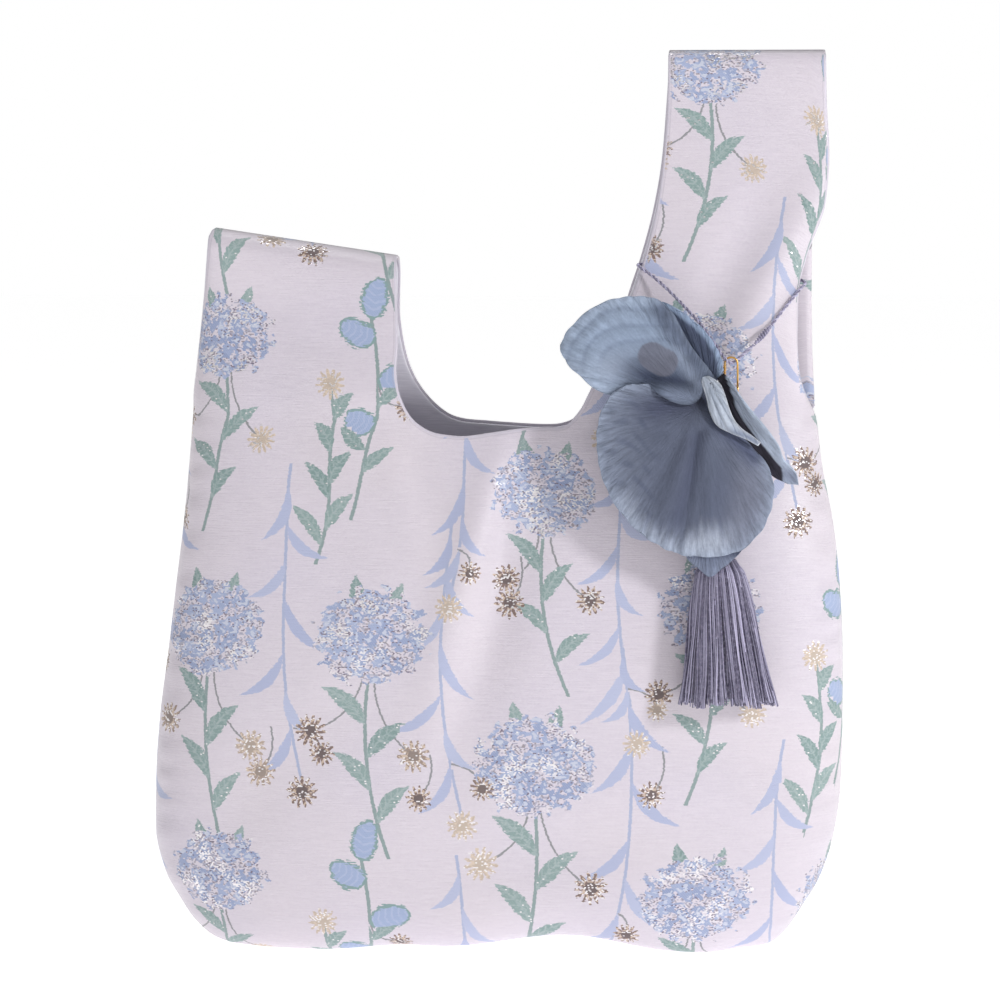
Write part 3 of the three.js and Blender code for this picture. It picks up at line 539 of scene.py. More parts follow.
# Moves the neck's free edge onto a curve, at even shares of both lengths, and the cloth near it with it.
def drawNeck(grid, n, shortCount, longCount, neck):
    lowShort = n + int(np.sum(grid[n + 1:n + shortCount, neckLeft, 2] < neck[0, 1]))
    lowLong = n + int(np.sum(grid[n + 1:n + longCount, neckRight, 2] < neck[-1, 1]))
    rows = np.concatenate([np.arange(lowShort, n, -1), np.full(neckRight - neckLeft + 1, n),
                           np.arange(n + 1, lowLong + 1)])
    cols = np.concatenate([np.full(lowShort - n, neckLeft), np.arange(neckLeft, neckRight + 1),
                           np.full(lowLong - n, neckRight)])
    edge = grid[rows, cols][:, [0, 2]]
    curve = throughPoints(neck, 600)
    at, along = (runOf(line) / runOf(line)[-1] for line in (edge, curve))
    goal = np.stack([np.interp(at, along, curve[:, k]) for k in range(2)], 1)
    shift = (goal - edge) * (ease(at / 0.12) * ease((1 - at) / 0.12))[:, None]
    for part in grid:
        away = np.linalg.norm(part[:, None, [0, 2]] - edge[None], axis=2)
        near = np.nan_to_num(away, nan=99.0).argmin(axis=1)
        least = np.take_along_axis(away, near[:, None], 1)[:, 0]
        part[:, [0, 2]] += shift[near] * ease(1 - least / bag["neckPull"])[:, None]


# Bends the back's long-handle margin forward round a small radius, so that its brocade shows from the front.
def curlMargin(lines, highs):
    for line, high in zip(lines, highs):
        run = runOf(line[::-1])[::-1]
        margin = curl["margin"] * ease(high / curl["low"]) * ease((curl["high"] - high) / curl["fade"])
        turn = np.clip(margin - run, 0, None)
        bent = np.minimum(turn / curl["radius"], math.pi)
        begin = line[np.argmin(np.abs(run - margin))]
        x = begin[0] + curl["radius"] * np.sin(bent) - np.clip(turn - curl["radius"] * math.pi, 0, None)
        y = begin[1] - curl["radius"] * (1 - np.cos(bent))
        shift = line[-1, 0] - (begin[0] + curl["radius"]) if margin > 0.01 else 0
        line[:, 0] = np.where(run < margin, x, line[:, 0]) + shift * ease((40 - run) / 30)
        line[:, 1] = np.where(run < margin, y, line[:, 1])


# One side of the bag as a grid of points, the cells of it that are cloth, the points' places in the flat handle,
# and how many rows are body. Each column runs through the rows of body and handle on one smooth curve.
def panelGrid(side, handleRows, folds, neck):
    body = bodySections(side)
    bodyAt = fine(stopsUp, bodyStep)
    n = len(bodyAt)
    stops = {name: stopsUp[-1] + np.append(0, rows[:, 0] * (handles[name]["top"] - bag["shoulder"]))
             for name, rows in handleRows.items()}
    at = {name: fine(stops[name], handles[name]["step"])[1:] for name in handleRows}
    rows = n + max(len(places) for places in at.values())
    grid = np.full((rows, lastColumn + 1, 3), np.nan)
    flat = np.zeros((rows, lastColumn + 1, 3))
    used = np.zeros((rows - 1, lastColumn), bool)
    grid[:n] = between(stopsUp, body, bodyAt)
    flat[:n, :, 2] = columns
    used[:n - 1] = True
    for name, handle in handles.items():
        first, last, top = handle["first"], handle["last"] + 1, n + len(at[name])
        part, flats = handleSections(handle, handleRows[name], side)
        smooth = between(np.append(stopsUp, stops[name][1:]), np.concatenate([body[:, first:last], part]),
                         np.append(bodyAt, at[name]))
        grid[n:top, first:last] = smooth[n:]
        # just below the shoulder the handle's own curve takes over from the body's
        keep = ease((bodyAt - stopsUp[-2]) / (stopsUp[-1] - stopsUp[-2]))[:, None, None]
        grid[:n, first:last] = mix(grid[:n, first:last], smooth[:n], keep)
        flat[n:top, first:last] = between(stops[name], flats, at[name])
        used[:top - 1, first:last - 1] = True
    addRelief(grid, flat, side, folds)
    drawNeck(grid, n - 1, len(at["short"]), len(at["long"]), neck)
    if side > 0:
        top = n + len(at["long"])
        curlMargin(grid[n:top, neckRight:], flat[n:top, neckRight, 1])
    grid[..., 2] = np.maximum(grid[..., 2], 0)
    for name, handle in handles.items():  # the handles' last row lies on the seam plane
        grid[n - 1 + len(at[name]), handle["first"]:handle["last"] + 1, 1] = 0
    return grid, used, flat, n


# Where a panel's cloth was in its flat cut: s across from the middle and t up, both in mm.
def clothPlaces(grid, flat, n):
    body = grid[:n]
    middle = int(np.argmin(np.abs(columns - 0.5)))
    across = np.linalg.norm(np.diff(body, axis=1), axis=2)
    s = np.concatenate([np.zeros((n, 1)), np.cumsum(across, axis=1)], 1)
    s = s - s[:, middle:middle + 1] + body[:, middle:middle + 1, 0]
    along = np.linalg.norm(np.diff(body, axis=0), axis=2)
    t = np.concatenate([np.zeros((1, s.shape[1])), np.cumsum(along, axis=0)])
    level = int(np.argmin(np.abs(body[:, middle, 2] - 60)))  # where t is the height in mm
    t = t - t[level] + body[level, :, 2]
    # over the handles' rolls t goes on by what the cloth turns back
    share = flat[n:, :, 2]
    rise = np.diff(grid[n - 1:], axis=0)
    bent = np.cumsum(np.hypot(rise[..., 1], rise[..., 2]) - np.abs(rise[..., 2]), axis=0)
    handleS = grid[n:, :, 0] + np.interp(share, columns, s[-1] - body[-1, :, 0])
    handleT = grid[n:, :, 2] + np.interp(share, columns, t[-1] - body[-1, :, 2]) + bent
    return np.stack([np.concatenate([s, handleS]), np.concatenate([t, handleT])], -1)


# A cloth wall from a grid: outer and inner faces, and a round rim at every edge.
# inset is how far in from the grid it starts, and drawn how far its edges are drawn back from the grid's edge.
def clothShell(grid, used, side, inset, wall, drawn, rim=5):
    rows, cols = grid.shape[:2]
    r, c = np.nonzero(used)
    quads = np.stack([r * cols + c, r * cols + c + 1, (r + 1) * cols + c + 1, (r + 1) * cols + c], -1)
    if side > 0:
        quads = quads[:, ::-1]
    flatGrid = grid.reshape(-1, 3)
    normal = np.cross(flatGrid[quads[:, 2]] - flatGrid[quads[:, 0]], flatGrid[quads[:, 3]] - flatGrid[quads[:, 1]])
    normals = np.zeros_like(flatGrid)
    for k in range(4):
        np.add.at(normals, quads[:, k], normal)
    onSeam = np.abs(flatGrid[:, 1]) < 1e-6
    normals[onSeam, 1] = 0
    normals = unit(normals)
    # edges used by one face only
    edge = np.concatenate([np.stack([quads[:, k], quads[:, (k + 1) % 4], np.arange(len(quads)),
                                     np.full(len(quads), k)], -1) for k in range(4)])
    there, back = (edge[:, k] * (rows * cols) + edge[:, 1 - k] for k in (0, 1))
    free = edge[~np.isin(there, back)]
    a, b = free[:, 0], free[:, 1]
    away = np.zeros_like(flatGrid)
    outwards = np.cross(unit(flatGrid[b] - flatGrid[a]), unit(normals[a] + normals[b]))
    np.add.at(away, a, outwards)
    np.add.at(away, b, outwards)
    away = unit(away)
    away[onSeam, 1] = 0
    top = flatGrid - normals * inset
    rimPoints = np.unique(np.concatenate([a, b]))
    top[rimPoints] -= away[rimPoints] * drawn
    kept = np.unique(quads)
    index = np.full(rows * cols, -1)
    index[kept] = np.arange(len(kept))
    count = len(kept)
    rimIndex = np.full(rows * cols, -1)
    rimIndex[rimPoints] = np.arange(len(rimPoints))
    rings = []
    for k in range(1, rim):
        turn = math.pi * k / rim
        rings.append(top[rimPoints] - normals[rimPoints] * wall / 2 * (1 - math.cos(turn))
                     + away[rimPoints] * wall / 2 * math.sin(turn))
    points = np.concatenate([top[kept], (top - normals * wall)[kept]] + rings)

    # where ring k of the rim has its points; the first and the last lie on the two faces
    def ringOf(k, which):
        if k in (0, rim):
            return index[which] + (count if k else 0)
        return 2 * count + (k - 1) * len(rimPoints) + rimIndex[which]

    strips = [np.stack([ringOf(k, b), ringOf(k, a), ringOf(k + 1, a), ringOf(k + 1, b)], -1) for k in range(rim)]
    faces = np.concatenate([index[quads], index[quads][:, ::-1] + count] + strips)
    source = np.concatenate([kept, kept] + [rimPoints] * (rim - 1))
    # for each corner of each face, the outer face and corner that its pattern comes from
    n = np.arange(len(quads))
    outer = np.stack([np.repeat(n, 4).reshape(-1, 4), np.tile(np.arange(4), (len(n), 1))], -1)
    second = (free[:, 3] + 1) % 4
    strip = np.stack([np.stack([free[:, 2]] * 4, -1), np.stack([second, free[:, 3], free[:, 3], second], -1)], -1)
    corners = np.concatenate([outer, outer[:, ::-1]] + [strip] * rim)
    return {"points": points, "faces": faces, "source": source, "corners": corners, "quads": quads,
            "free": rimPoints, "onSeam": onSeam}


panels = {}
for name, side, handleRows, folds, neck, shift in (
        ("front", -1, {"long": longFront, "short": shortFront}, frontFolds, frontNeck, (14, 62)),
        ("back", 1, {"long": longBack, "short": shortBack}, backFolds, backNeck, (63, 130))):
    grid, used, flat, bodyCount = panelGrid(side, handleRows, folds, neck)
    panels[name] = {"side": side, "grid": grid, "used": used, "places": clothPlaces(grid, flat, bodyCount),
                    "shift": shift}
    print(name, "grid", grid.shape, "cells", int(used.sum()))


# A panel's mesh from its shell, with the cloth places s and t in mm and the distance to the nearest free edge.
def clothMesh(name, panel, inset, wall, backBy, material, patterned=False):
    grid = panel["grid"]
    shell = clothShell(grid, panel["used"], panel["side"], inset, wall, backBy)
    flatGrid, places = grid.reshape(-1, 3), panel["places"].reshape(-1, 2)
    freeEdge = flatGrid[shell["free"][~shell["onSeam"][shell["free"]]]]
    near = np.full(len(flatGrid), 99.0)
    for part in np.array_split(np.unique(shell["quads"]), 24):
        near[part] = np.linalg.norm(flatGrid[part][:, None] - freeEdge[None], axis=2).min(axis=1)
    cloth = np.concatenate([places, near[:, None]], 1)[shell["source"]]
    corners = {}
    if patterned:
        which, corner = shell["corners"][..., 0], shell["corners"][..., 1]
        corners = {key: values[which, corner] for key, values in designCorners(panel, shell["quads"]).items()}
    return makeMesh(name, shell["points"], shell["faces"], material, pointData={"cloth": cloth},
                    cornerData=corners)


# The woven design, drawn in the flat cloth in mm: leaves, blossoms, star seed-heads and stems.
# One tile of sprays, as listed, is repeated over the cloth. Rows: kind, x, y, lean, size.
tileSize = (172.0, 188.0)
sprays = [
    ("bloom", -58, 50, 7, 1.0), ("buds", -60, -44, -5, 1.0), ("bloom", 0, 6, -6, 1.05),
    ("bloom", 3, -88, 8, 0.9), ("bloom", 56, -42, 5, 1.0), ("bloom", 60, 60, -8, 0.88),
    ("twig", -30, 92, 5, 1.0), ("twig", -27, -26, -4, 0.95), ("twig", 30, 48, -5, 1.1),
    ("twig", 31, -78, 4, 0.9), ("twig", 86, 14, 5, 1.05), ("sprig", -78, -112, 4, 0.9),
    ("star", -9, 62, 0, 1.0), ("star", 40, -4, 20, 0.9), ("star", 76, -92, -15, 1.0), ("star", -40, -6, 10, 0.85),
]
kinds = {"leaf": 0, "twig": 1, "bud": 2, "fine": 3}  # of leaves and stems
leaves, segments, blooms, stars = [], [], [], []
draw = np.random.default_rng(5)


def addLeaf(place, angle, length, width, bend, kind="leaf"):
    leaves.append([*place, math.radians(angle), length, width, bend, kinds[kind], draw.uniform(0, 0.9)])


def addStar(place, angle, radius):
    stars.append([*place, math.radians(angle), radius * 1.25, draw.uniform(0, 1)])


# A stem from start to end that bows out as 4 t (1 - t), kept as straight segments.
def addStem(start, end, bow, steps, kind):
    start, end = np.array(start, float), np.array(end, float)
    t = np.linspace(0, 1, steps)[:, None]
    side = np.array([end[1] - start[1], start[0] - end[0]])
    side /= max(np.hypot(*side), 1e-9)
    line = start + (end - start) * t + side * bow * 4 * t * (1 - t)
    segments.extend([*a, *b, kinds[kind]] for a, b in zip(line[:-1], line[1:]))
    return line


def turnsOf(count):
    return [-1, 1] * (count // 2) + [-1] * (count % 2)


def bloomSpray(x, y, lean, size, wobble):
    blooms.append([x, y, 20.5 * size, 17 * size, draw.uniform(0, 0.9)])
    line = addStem((x, y - 13 * size), (x + lean, y - 76 * size), lean * 0.5, 12, "leaf")
    for i, (sign, share) in enumerate(zip(turnsOf(4), (0.34, 0.5, 0.66, 0.86))):
        addLeaf(line[int(share * 11)], 90 - sign * (44 + 9 * wobble[i]), (22 - 5 * share) * size,
                (6.2 - 1.2 * share) * size, sign * 1.8)
    addLeaf((x - 3, y + 9 * size), 112 + 9 * wobble[7], 13 * size, 5.2 * size, 1)
    addLeaf((x + 4, y + 10 * size), 62 + 9 * wobble[8], 11 * size, 4.6 * size, -1)
    for sign, reach, drop in ((-1, 17 + 3 * wobble[9], 33), (1, 15 + 4 * wobble[10], 41)):
        tip = (x + sign * reach * size, y - drop * size)
        addStem((x + sign * 2, y - 15 * size), tip, sign * 3.5, 9, "fine")
        addStar(tip, 90 + sign * 25, 4.6 * size)


def twigSpray(x, y, lean, size, wobble):
    line = addStem((x, y), (x + lean, y - 104 * size), lean * 1.1, 18, "twig")
    for i, (sign, step) in enumerate(zip(turnsOf(7), (1, 3, 5, 7, 10, 12, 14))):
        addLeaf(line[step], -90 + sign * (42 + 14 * wobble[i]), (20 + 4 * wobble[i + 9]) * size, 3.6 * size,
                -sign * 3.2, "twig")
    addStar((x + lean, y - 107 * size), -90, 4.4 * size)
    addStar((x + lean + 7, y - 94 * size), -70, 3.6 * size)
    addStem(line[14], (x + lean + 7, y - 92 * size), -1.5, 7, "fine")


def budSpray(x, y, lean, size, wobble):
    line = addStem((x, y + 16), (x + lean, y - 52 * size), lean, 10, "leaf")
    for i, (step, angle, long) in enumerate(((0, 78, 15), (1, 158, 14), (3, 22, 15), (5, 150, 12))):
        addLeaf(line[step], angle + 8 * wobble[i], long * size, 9.6 * size, 0.6, "bud")
    for step, angle in ((4, 40), (6, 140), (7, 38)):
        addLeaf(line[step], angle, 14 * size, 4.4 * size, 1)
    addStem(line[3], (x + 13, y - 14), 3, 6, "fine")
    addStar((x + 13, y - 15), -60, 3.6)


def sprigSpray(x, y, lean, size, wobble):
    line = addStem((x, y), (x + lean, y + 66 * size), lean, 12, "leaf")
    for i, (sign, step) in enumerate(zip(turnsOf(6), (1, 2, 4, 5, 7, 9))):
        addLeaf(line[step], 90 - sign * (40 + 8 * wobble[i]), (20 - 1.4 * i) * size, 5.4 * size, sign * 1.6)
    addStar((x + lean, y + 68 * size), 90, 4.8 * size)


def starSpray(x, y, lean, size, wobble):
    addStar((x, y), 90 + lean, 4.4 * size)
    addStem((x, y), (x + 4, y + 15), 2, 6, "fine")


sprayKinds = {"bloom": bloomSpray, "twig": twigSpray, "buds": budSpray, "sprig": sprigSpray, "star": starSpray}
for kind, x, y, lean, size in sprays:
    sprayKinds[kind](x, y, lean, size, draw.uniform(-1, 1, 24))
leaves, segments, blooms, stars = (np.array(rows, float) for rows in (leaves, segments, blooms, stars))


# Copies of the tile's rows over the cloth, from low to high in s and t, with every second column half a tile up.
def repeat(rows, low, high, places):
    result = []
    for i in range(math.floor(low[0] / tileSize[0]) - 1, math.ceil(high[0] / tileSize[0]) + 2):
        for j in range(math.floor(low[1] / tileSize[1]) - 2, math.ceil(high[1] / tileSize[1]) + 2):
            shift = np.array([i * tileSize[0], (j + 0.5 * (i % 2)) * tileSize[1]])
            moved = rows.copy()
            for k in places:
                moved[:, k:k + 2] += shift
            inside = ((moved[:, 0] > low[0] - 24) & (moved[:, 0] < high[0] + 24)
                      & (moved[:, 1] > low[1] - 24) & (moved[:, 1] < high[1] + 24))
            result.append(moved[inside])
    return np.concatenate(result)


# Where cloth points lie in the design's rows: two places in the motif, its tint or kind, how far off the point is
# by the motif's own measure, and whether the motif reaches there.
def inLeaf(p, rows):
    dx, dy = p[..., 0] - rows[..., 0], p[..., 1] - rows[..., 1]
    c, s = np.cos(rows[..., 2]), np.sin(rows[..., 2])
    a = (dx * c + dy * s) / rows[..., 3] * 2 - 1
    b = (dy * c - dx * s - rows[..., 5] * (1 - a * a)) / (rows[..., 4] / 2)
    return a, b, rows[..., 6] + rows[..., 7], np.maximum(np.abs(a), np.abs(b) * 0.8), True


def inBloom(p, rows):
    u, v = (p[..., 0] - rows[..., 0]) / rows[..., 2], (p[..., 1] - rows[..., 1]) / rows[..., 3]
    return u, v, rows[..., 4], np.hypot(u, v), True


def inStar(p, rows):
    dx, dy = (p[..., 0] - rows[..., 0]) / rows[..., 3], (p[..., 1] - rows[..., 1]) / rows[..., 3]
    c, s = np.cos(rows[..., 2]), np.sin(rows[..., 2])
    return dx * c + dy * s, dy * c - dx * s, rows[..., 4], np.hypot(dx, dy), True


def inStem(p, rows):
    run = rows[..., 2:4] - rows[..., 0:2]
    length = np.maximum(np.linalg.norm(run, axis=-1), 1e-9)
    d = p - rows[..., 0:2]
    along = (d * run).sum(-1) / length
    off = (d[..., 0] * run[..., 1] - d[..., 1] * run[..., 0]) / length
    beyond = np.maximum(np.maximum(-along, along - length), 0)
    return off, along, rows[..., 4], np.hypot(off, beyond), beyond < 1.2


# For each outer face, the nearest leaf, blossom, star and stem, and its corners' places in that motif.
def designCorners(panel, quads):
    corner = (panel["places"].reshape(-1, 2) - np.array(panel["shift"]))[quads]
    middle = corner.mean(axis=1)
    low, high = middle.min(axis=0), middle.max(axis=0)
    result = {}
    # rows, the columns of their places, their measure, how far it counts, and what stands for no motif
    for key, rows, places, measure, limit, none in (
            ("leaf", leaves, (0,), inLeaf, 1.9, -9.0), ("bloom", blooms, (0,), inBloom, 1.5, 9.0),
            ("star", stars, (0,), inStar, 1.7, 99.0), ("stem", segments, (0, 2), inStem, 3.5, 99.0)):
        rows = repeat(rows, low, high, places)
        result[key] = np.full((len(quads), 4, 3), none)
        for part in np.array_split(np.arange(len(quads)), 16):
            *_, far, fits = measure(middle[part][:, None], rows[None])
            best = far.argmin(axis=1)
            pick = np.arange(len(part)), best
            near = (far[pick] < limit) & np.broadcast_to(fits, far.shape)[pick]
            found = np.broadcast_arrays(*measure(corner[part], rows[best][:, None])[:3])
            result[key][part[near]] = np.stack(found, -1)[near]
    return result


# The weave, in mm of cloth: rows of thread, steps in their floats, fine lines across, flecks and twill.
weaveFacts = {"row": 0.42, "rowSlip": 0.97, "step": 1.7, "shift": 0.9, "lineAcross": 0.11, "lineUp": 2.1,
              "fleck": 0.64, "fleckSlip": 0.41, "twill": 7.4, "twillLean": 0.8}
weave = bpy.data.node_groups.new("weave", "ShaderNodeTree")
weave.interface.new_socket("Cloth", in_out="INPUT", socket_type="NodeSocketVector")
for key in ("Shift", "Lines", "Flecks", "Twill"):
    weave.interface.new_socket(key, in_out="OUTPUT", socket_type="NodeSocketFloat")
given, made = weave.nodes.new("NodeGroupInput"), weave.nodes.new("NodeGroupOutput")
drawing["tree"] = weave
s, t, hem = split(output(given.outputs["Cloth"]))
row = t // weaveFacts["row"]
step = (s + row * weaveFacts["rowSlip"]) // weaveFacts["step"]
feedAll(made.inputs, {
    "Shift": (chance(join(row, step, 3.0)) - 0.5) * weaveFacts["shift"],
    "Lines": noise(join(s * weaveFacts["lineAcross"], t * weaveFacts["lineUp"]), 1.0, 1.0, 0.7, flat=True),
    "Flecks": chance(join((s + row * weaveFacts["fleckSlip"]) // weaveFacts["fleck"], row, 7.0)),
    "Twill": calc("SINE", (s + t * weaveFacts["twillLean"]) * weaveFacts["twill"]) * 0.5 + 0.5})


# The cloth's places and what the weave makes of them.
def wovenCloth():
    cloth = attribute("cloth")
    node = addNode("Group", node_tree=weave)
    feed(cloth, node.inputs["Cloth"])
    return cloth, [output(node.outputs[key]) for key in ("Shift", "Lines", "Flecks", "Twill")]


# Brocade: pale satin with fine lines across, and the design in silk and metal thread.
thread = {key: colour(*tone) for key, tone in {
    "ground": (195, 187, 201), "groundPale": (203, 195, 208), "cloud": (213, 203, 204),
    "groundFleck": (222, 217, 221), "groundTwill": (184, 177, 192), "stem": (134, 150, 150),
    "twigStem": (162, 169, 196), "fineStem": (138, 138, 142),
    "leaf": (122, 145, 143), "leafPale": (140, 159, 157), "leafTwill": (104, 130, 130), "leafVein": (176, 184, 189),
    "leafFleck": (182, 190, 191), "twig": (154, 163, 196), "twigPale": (170, 177, 204), "twigTwill": (190, 190, 210),
    "bud": (146, 161, 194), "budPale": (174, 183, 208), "budTwill": (182, 189, 210), "budRim": (126, 151, 151),
    "floret": (130, 143, 178), "floretPale": (156, 167, 198), "floretTwill": (176, 181, 203),
    "floretHeart": (188, 192, 208), "gap": (162, 161, 178), "gapDark": (146, 138, 146), "bloomFleck": (116, 106, 124),
    "star": (122, 102, 96), "starPale": (190, 170, 154), "starHeart": (100, 86, 86), "starBeige": (208, 192, 176),
    "metal": (226, 222, 224), "turnedEdge": (196, 190, 202), "groove": (160, 154, 168)}.items()}
brocadeMaterial, shader = newMaterial("brocade")
cloth, (shift, lines, fleck, twill) = wovenCloth()
s, t, hem = split(cloth)
cloudy = noise(cloth, 0.02, 1.0, flat=True)
ground = layered(blend(remap(lines, 0.25, 0.75), thread["ground"], thread["groundPale"]),
                 (cloudy * 0.5, thread["cloud"]), (fleck * 0.22, thread["groundFleck"]),
                 (twill * 0.14, thread["groundTwill"]))

# stems: a line of its own width along each signed distance
off, along, kind = split(attribute("stem"))
onStem = abs(off + shift * 0.35) < remap(kind, kinds["leaf"], kinds["fine"], 0.62, 0.34, soft=False)
stemColour = layered(thread["stem"], (kind > 0.5, thread["twigStem"]), (kind > 2.0, thread["fineStem"]))

# leaves: half width by (1 - a squared), with a pale vein and side veins; buds are blue with a green rim
a, b, kindTint = split(attribute("leaf"))
a, across = a + shift * 0.03, abs(b + shift * 0.30)
kind = kindTint // 1.0
tint = kindTint - kind
isLeaf, isTwig, isBud = (calc("COMPARE", kind, kinds[key], 0.5) for key in ("leaf", "twig", "bud"))
body = calc("POWER", most((1.0 - a * a) * (1.0 - a * 0.22), 0.0), remap(isBud, 0.0, 1.0, 1.0, 0.5, soft=False))
onLeaf = across < body
ribs = calc("SINE", a * 19.0 + across * -6.0) > 0.72
green = layered(blend(tint, thread["leaf"], thread["leafPale"]), (twill * 0.25, thread["leafTwill"]),
                (most(across < 0.13, ribs) * 0.35, thread["leafVein"]), ((fleck > 0.7) * 0.22, thread["leafFleck"]))
violet = layered(blend(tint, thread["twig"], thread["twigPale"]), (twill * 0.5, thread["twigTwill"]))
blue = layered(blend(ribs * 0.5, thread["bud"], thread["budPale"]), (twill * 0.3, thread["budTwill"]))
inBud = (across < body - 0.22) * (abs(a) < 0.86)
leafColour = layered(green, (isTwig, violet), (isBud, blend(inBud, thread["budRim"], blue)))
leafMetal = onLeaf * (fleck > 0.985) * isLeaf

# blossoms: florets inside a ragged oval, with silver thread between them
u, v, own = split(attribute("bloom"))
u = u + shift * 0.055
place = join(s + shift * 0.9, t)
ragged = noise(place, 0.26, 1.0, flat=True)
reach = calc("SQRT", u * u + v * v) + (ragged - 0.5) * 0.55
onBloom = reach < 0.95
floret, tone = cells(place, 0.2)
lobes = floret + noise(place, 0.6, 0.0, flat=True) - 0.5
onFloret = lobes < remap(reach, 0.0, 1.0, 0.54, 0.42, soft=False)
floretColour = layered(blend(split(tone)[0], thread["floret"], thread["floretPale"]),
                       (twill * 0.3, thread["floretTwill"]), (lobes < 0.1, thread["floretHeart"]))
gapColour = layered(thread["gap"], (fleck > 0.4, ground), (fleck < 0.16, thread["gapDark"]))
shining = remap(noise(place, 0.11, 0.0, flat=True), 0.42, 0.75)
bloomMetal = onBloom * shining * (fleck > 0.68)

# stars: spikes round a dark heart, in silver and brown thread
u, v, own = split(attribute("star"))
u = u + shift * 0.16
reach = calc("SQRT", u * u + v * v)
onStar = reach < abs(calc("SINE", calc("ARCTAN2", v, u) * 6.5)) * 0.62 + 0.38
starColour = layered(blend(fleck > 0.5, thread["star"], thread["starPale"]), (reach < 0.36, thread["starHeart"]),
                     (remap(own, 0.35, 0.75, 0.0, 0.7), thread["starBeige"]))
starMetal = onStar * (fleck > 0.84)

# the turned edge: a plain pale line, with painted shade of a stitching groove behind it
turned, groove = hem < 0.3, calc("COMPARE", hem, 0.75, 0.22)
metal = most(bloomMetal, starMetal, leafMetal)
bloomColour = blend(onFloret, gapColour, floretColour)
base = layered(ground, (onStem, stemColour), (onLeaf, leafColour), (onBloom, bloomColour),
               (onBloom * (fleck < 0.04), thread["bloomFleck"]), (onStar, starColour), (metal, thread["metal"]),
               (turned, thread["turnedEdge"]), (groove * 0.28, thread["groove"]))
metal = metal * (1.0 - turned)
rough = remap(most(onLeaf, onStem, onBloom, onStar), 0.0, 1.0, 0.40, 0.58, soft=False) - metal * 0.25
feedAll(shader.inputs, {"Base Color": base, "Metallic": metal * 0.85, "Roughness": rough, "Sheen Weight": 0.2})
bump(shader, lines * 0.6 + fleck * 0.25, 0.0003, 0.5)

# Lining: plain grey-lilac satin with fine lines and a paler turned edge.
liningMaterial, shader = newMaterial("lining")
cloth, (shift, lines, fleck, twill) = wovenCloth()
satin = layered(blend(remap(lines, 0.25, 0.75), colour(222, 219, 230), colour(232, 229, 239)),
                (remap(split(cloth)[2], 0.2, 0.8, 0.5, 0.0), colour(228, 226, 235)))
feedAll(shader.inputs, {"Base Color": satin, "Roughness": 0.34, "Sheen Weight": 0.3})
bump(shader, lines, 0.0002, 0.4)

for name in ("front", "back"):
    declare(clothMesh(name + "_brocade", panels[name], 0, bag["wall"], 0, brocadeMaterial, patterned=True),
            name + "_panel")
    declare(clothMesh(name + "_satin", panels[name], bag["wall"] + bag["gap"], bag["lining"], bag["liningBack"],
                      liningMaterial), name + "_lining")
print("panels made")

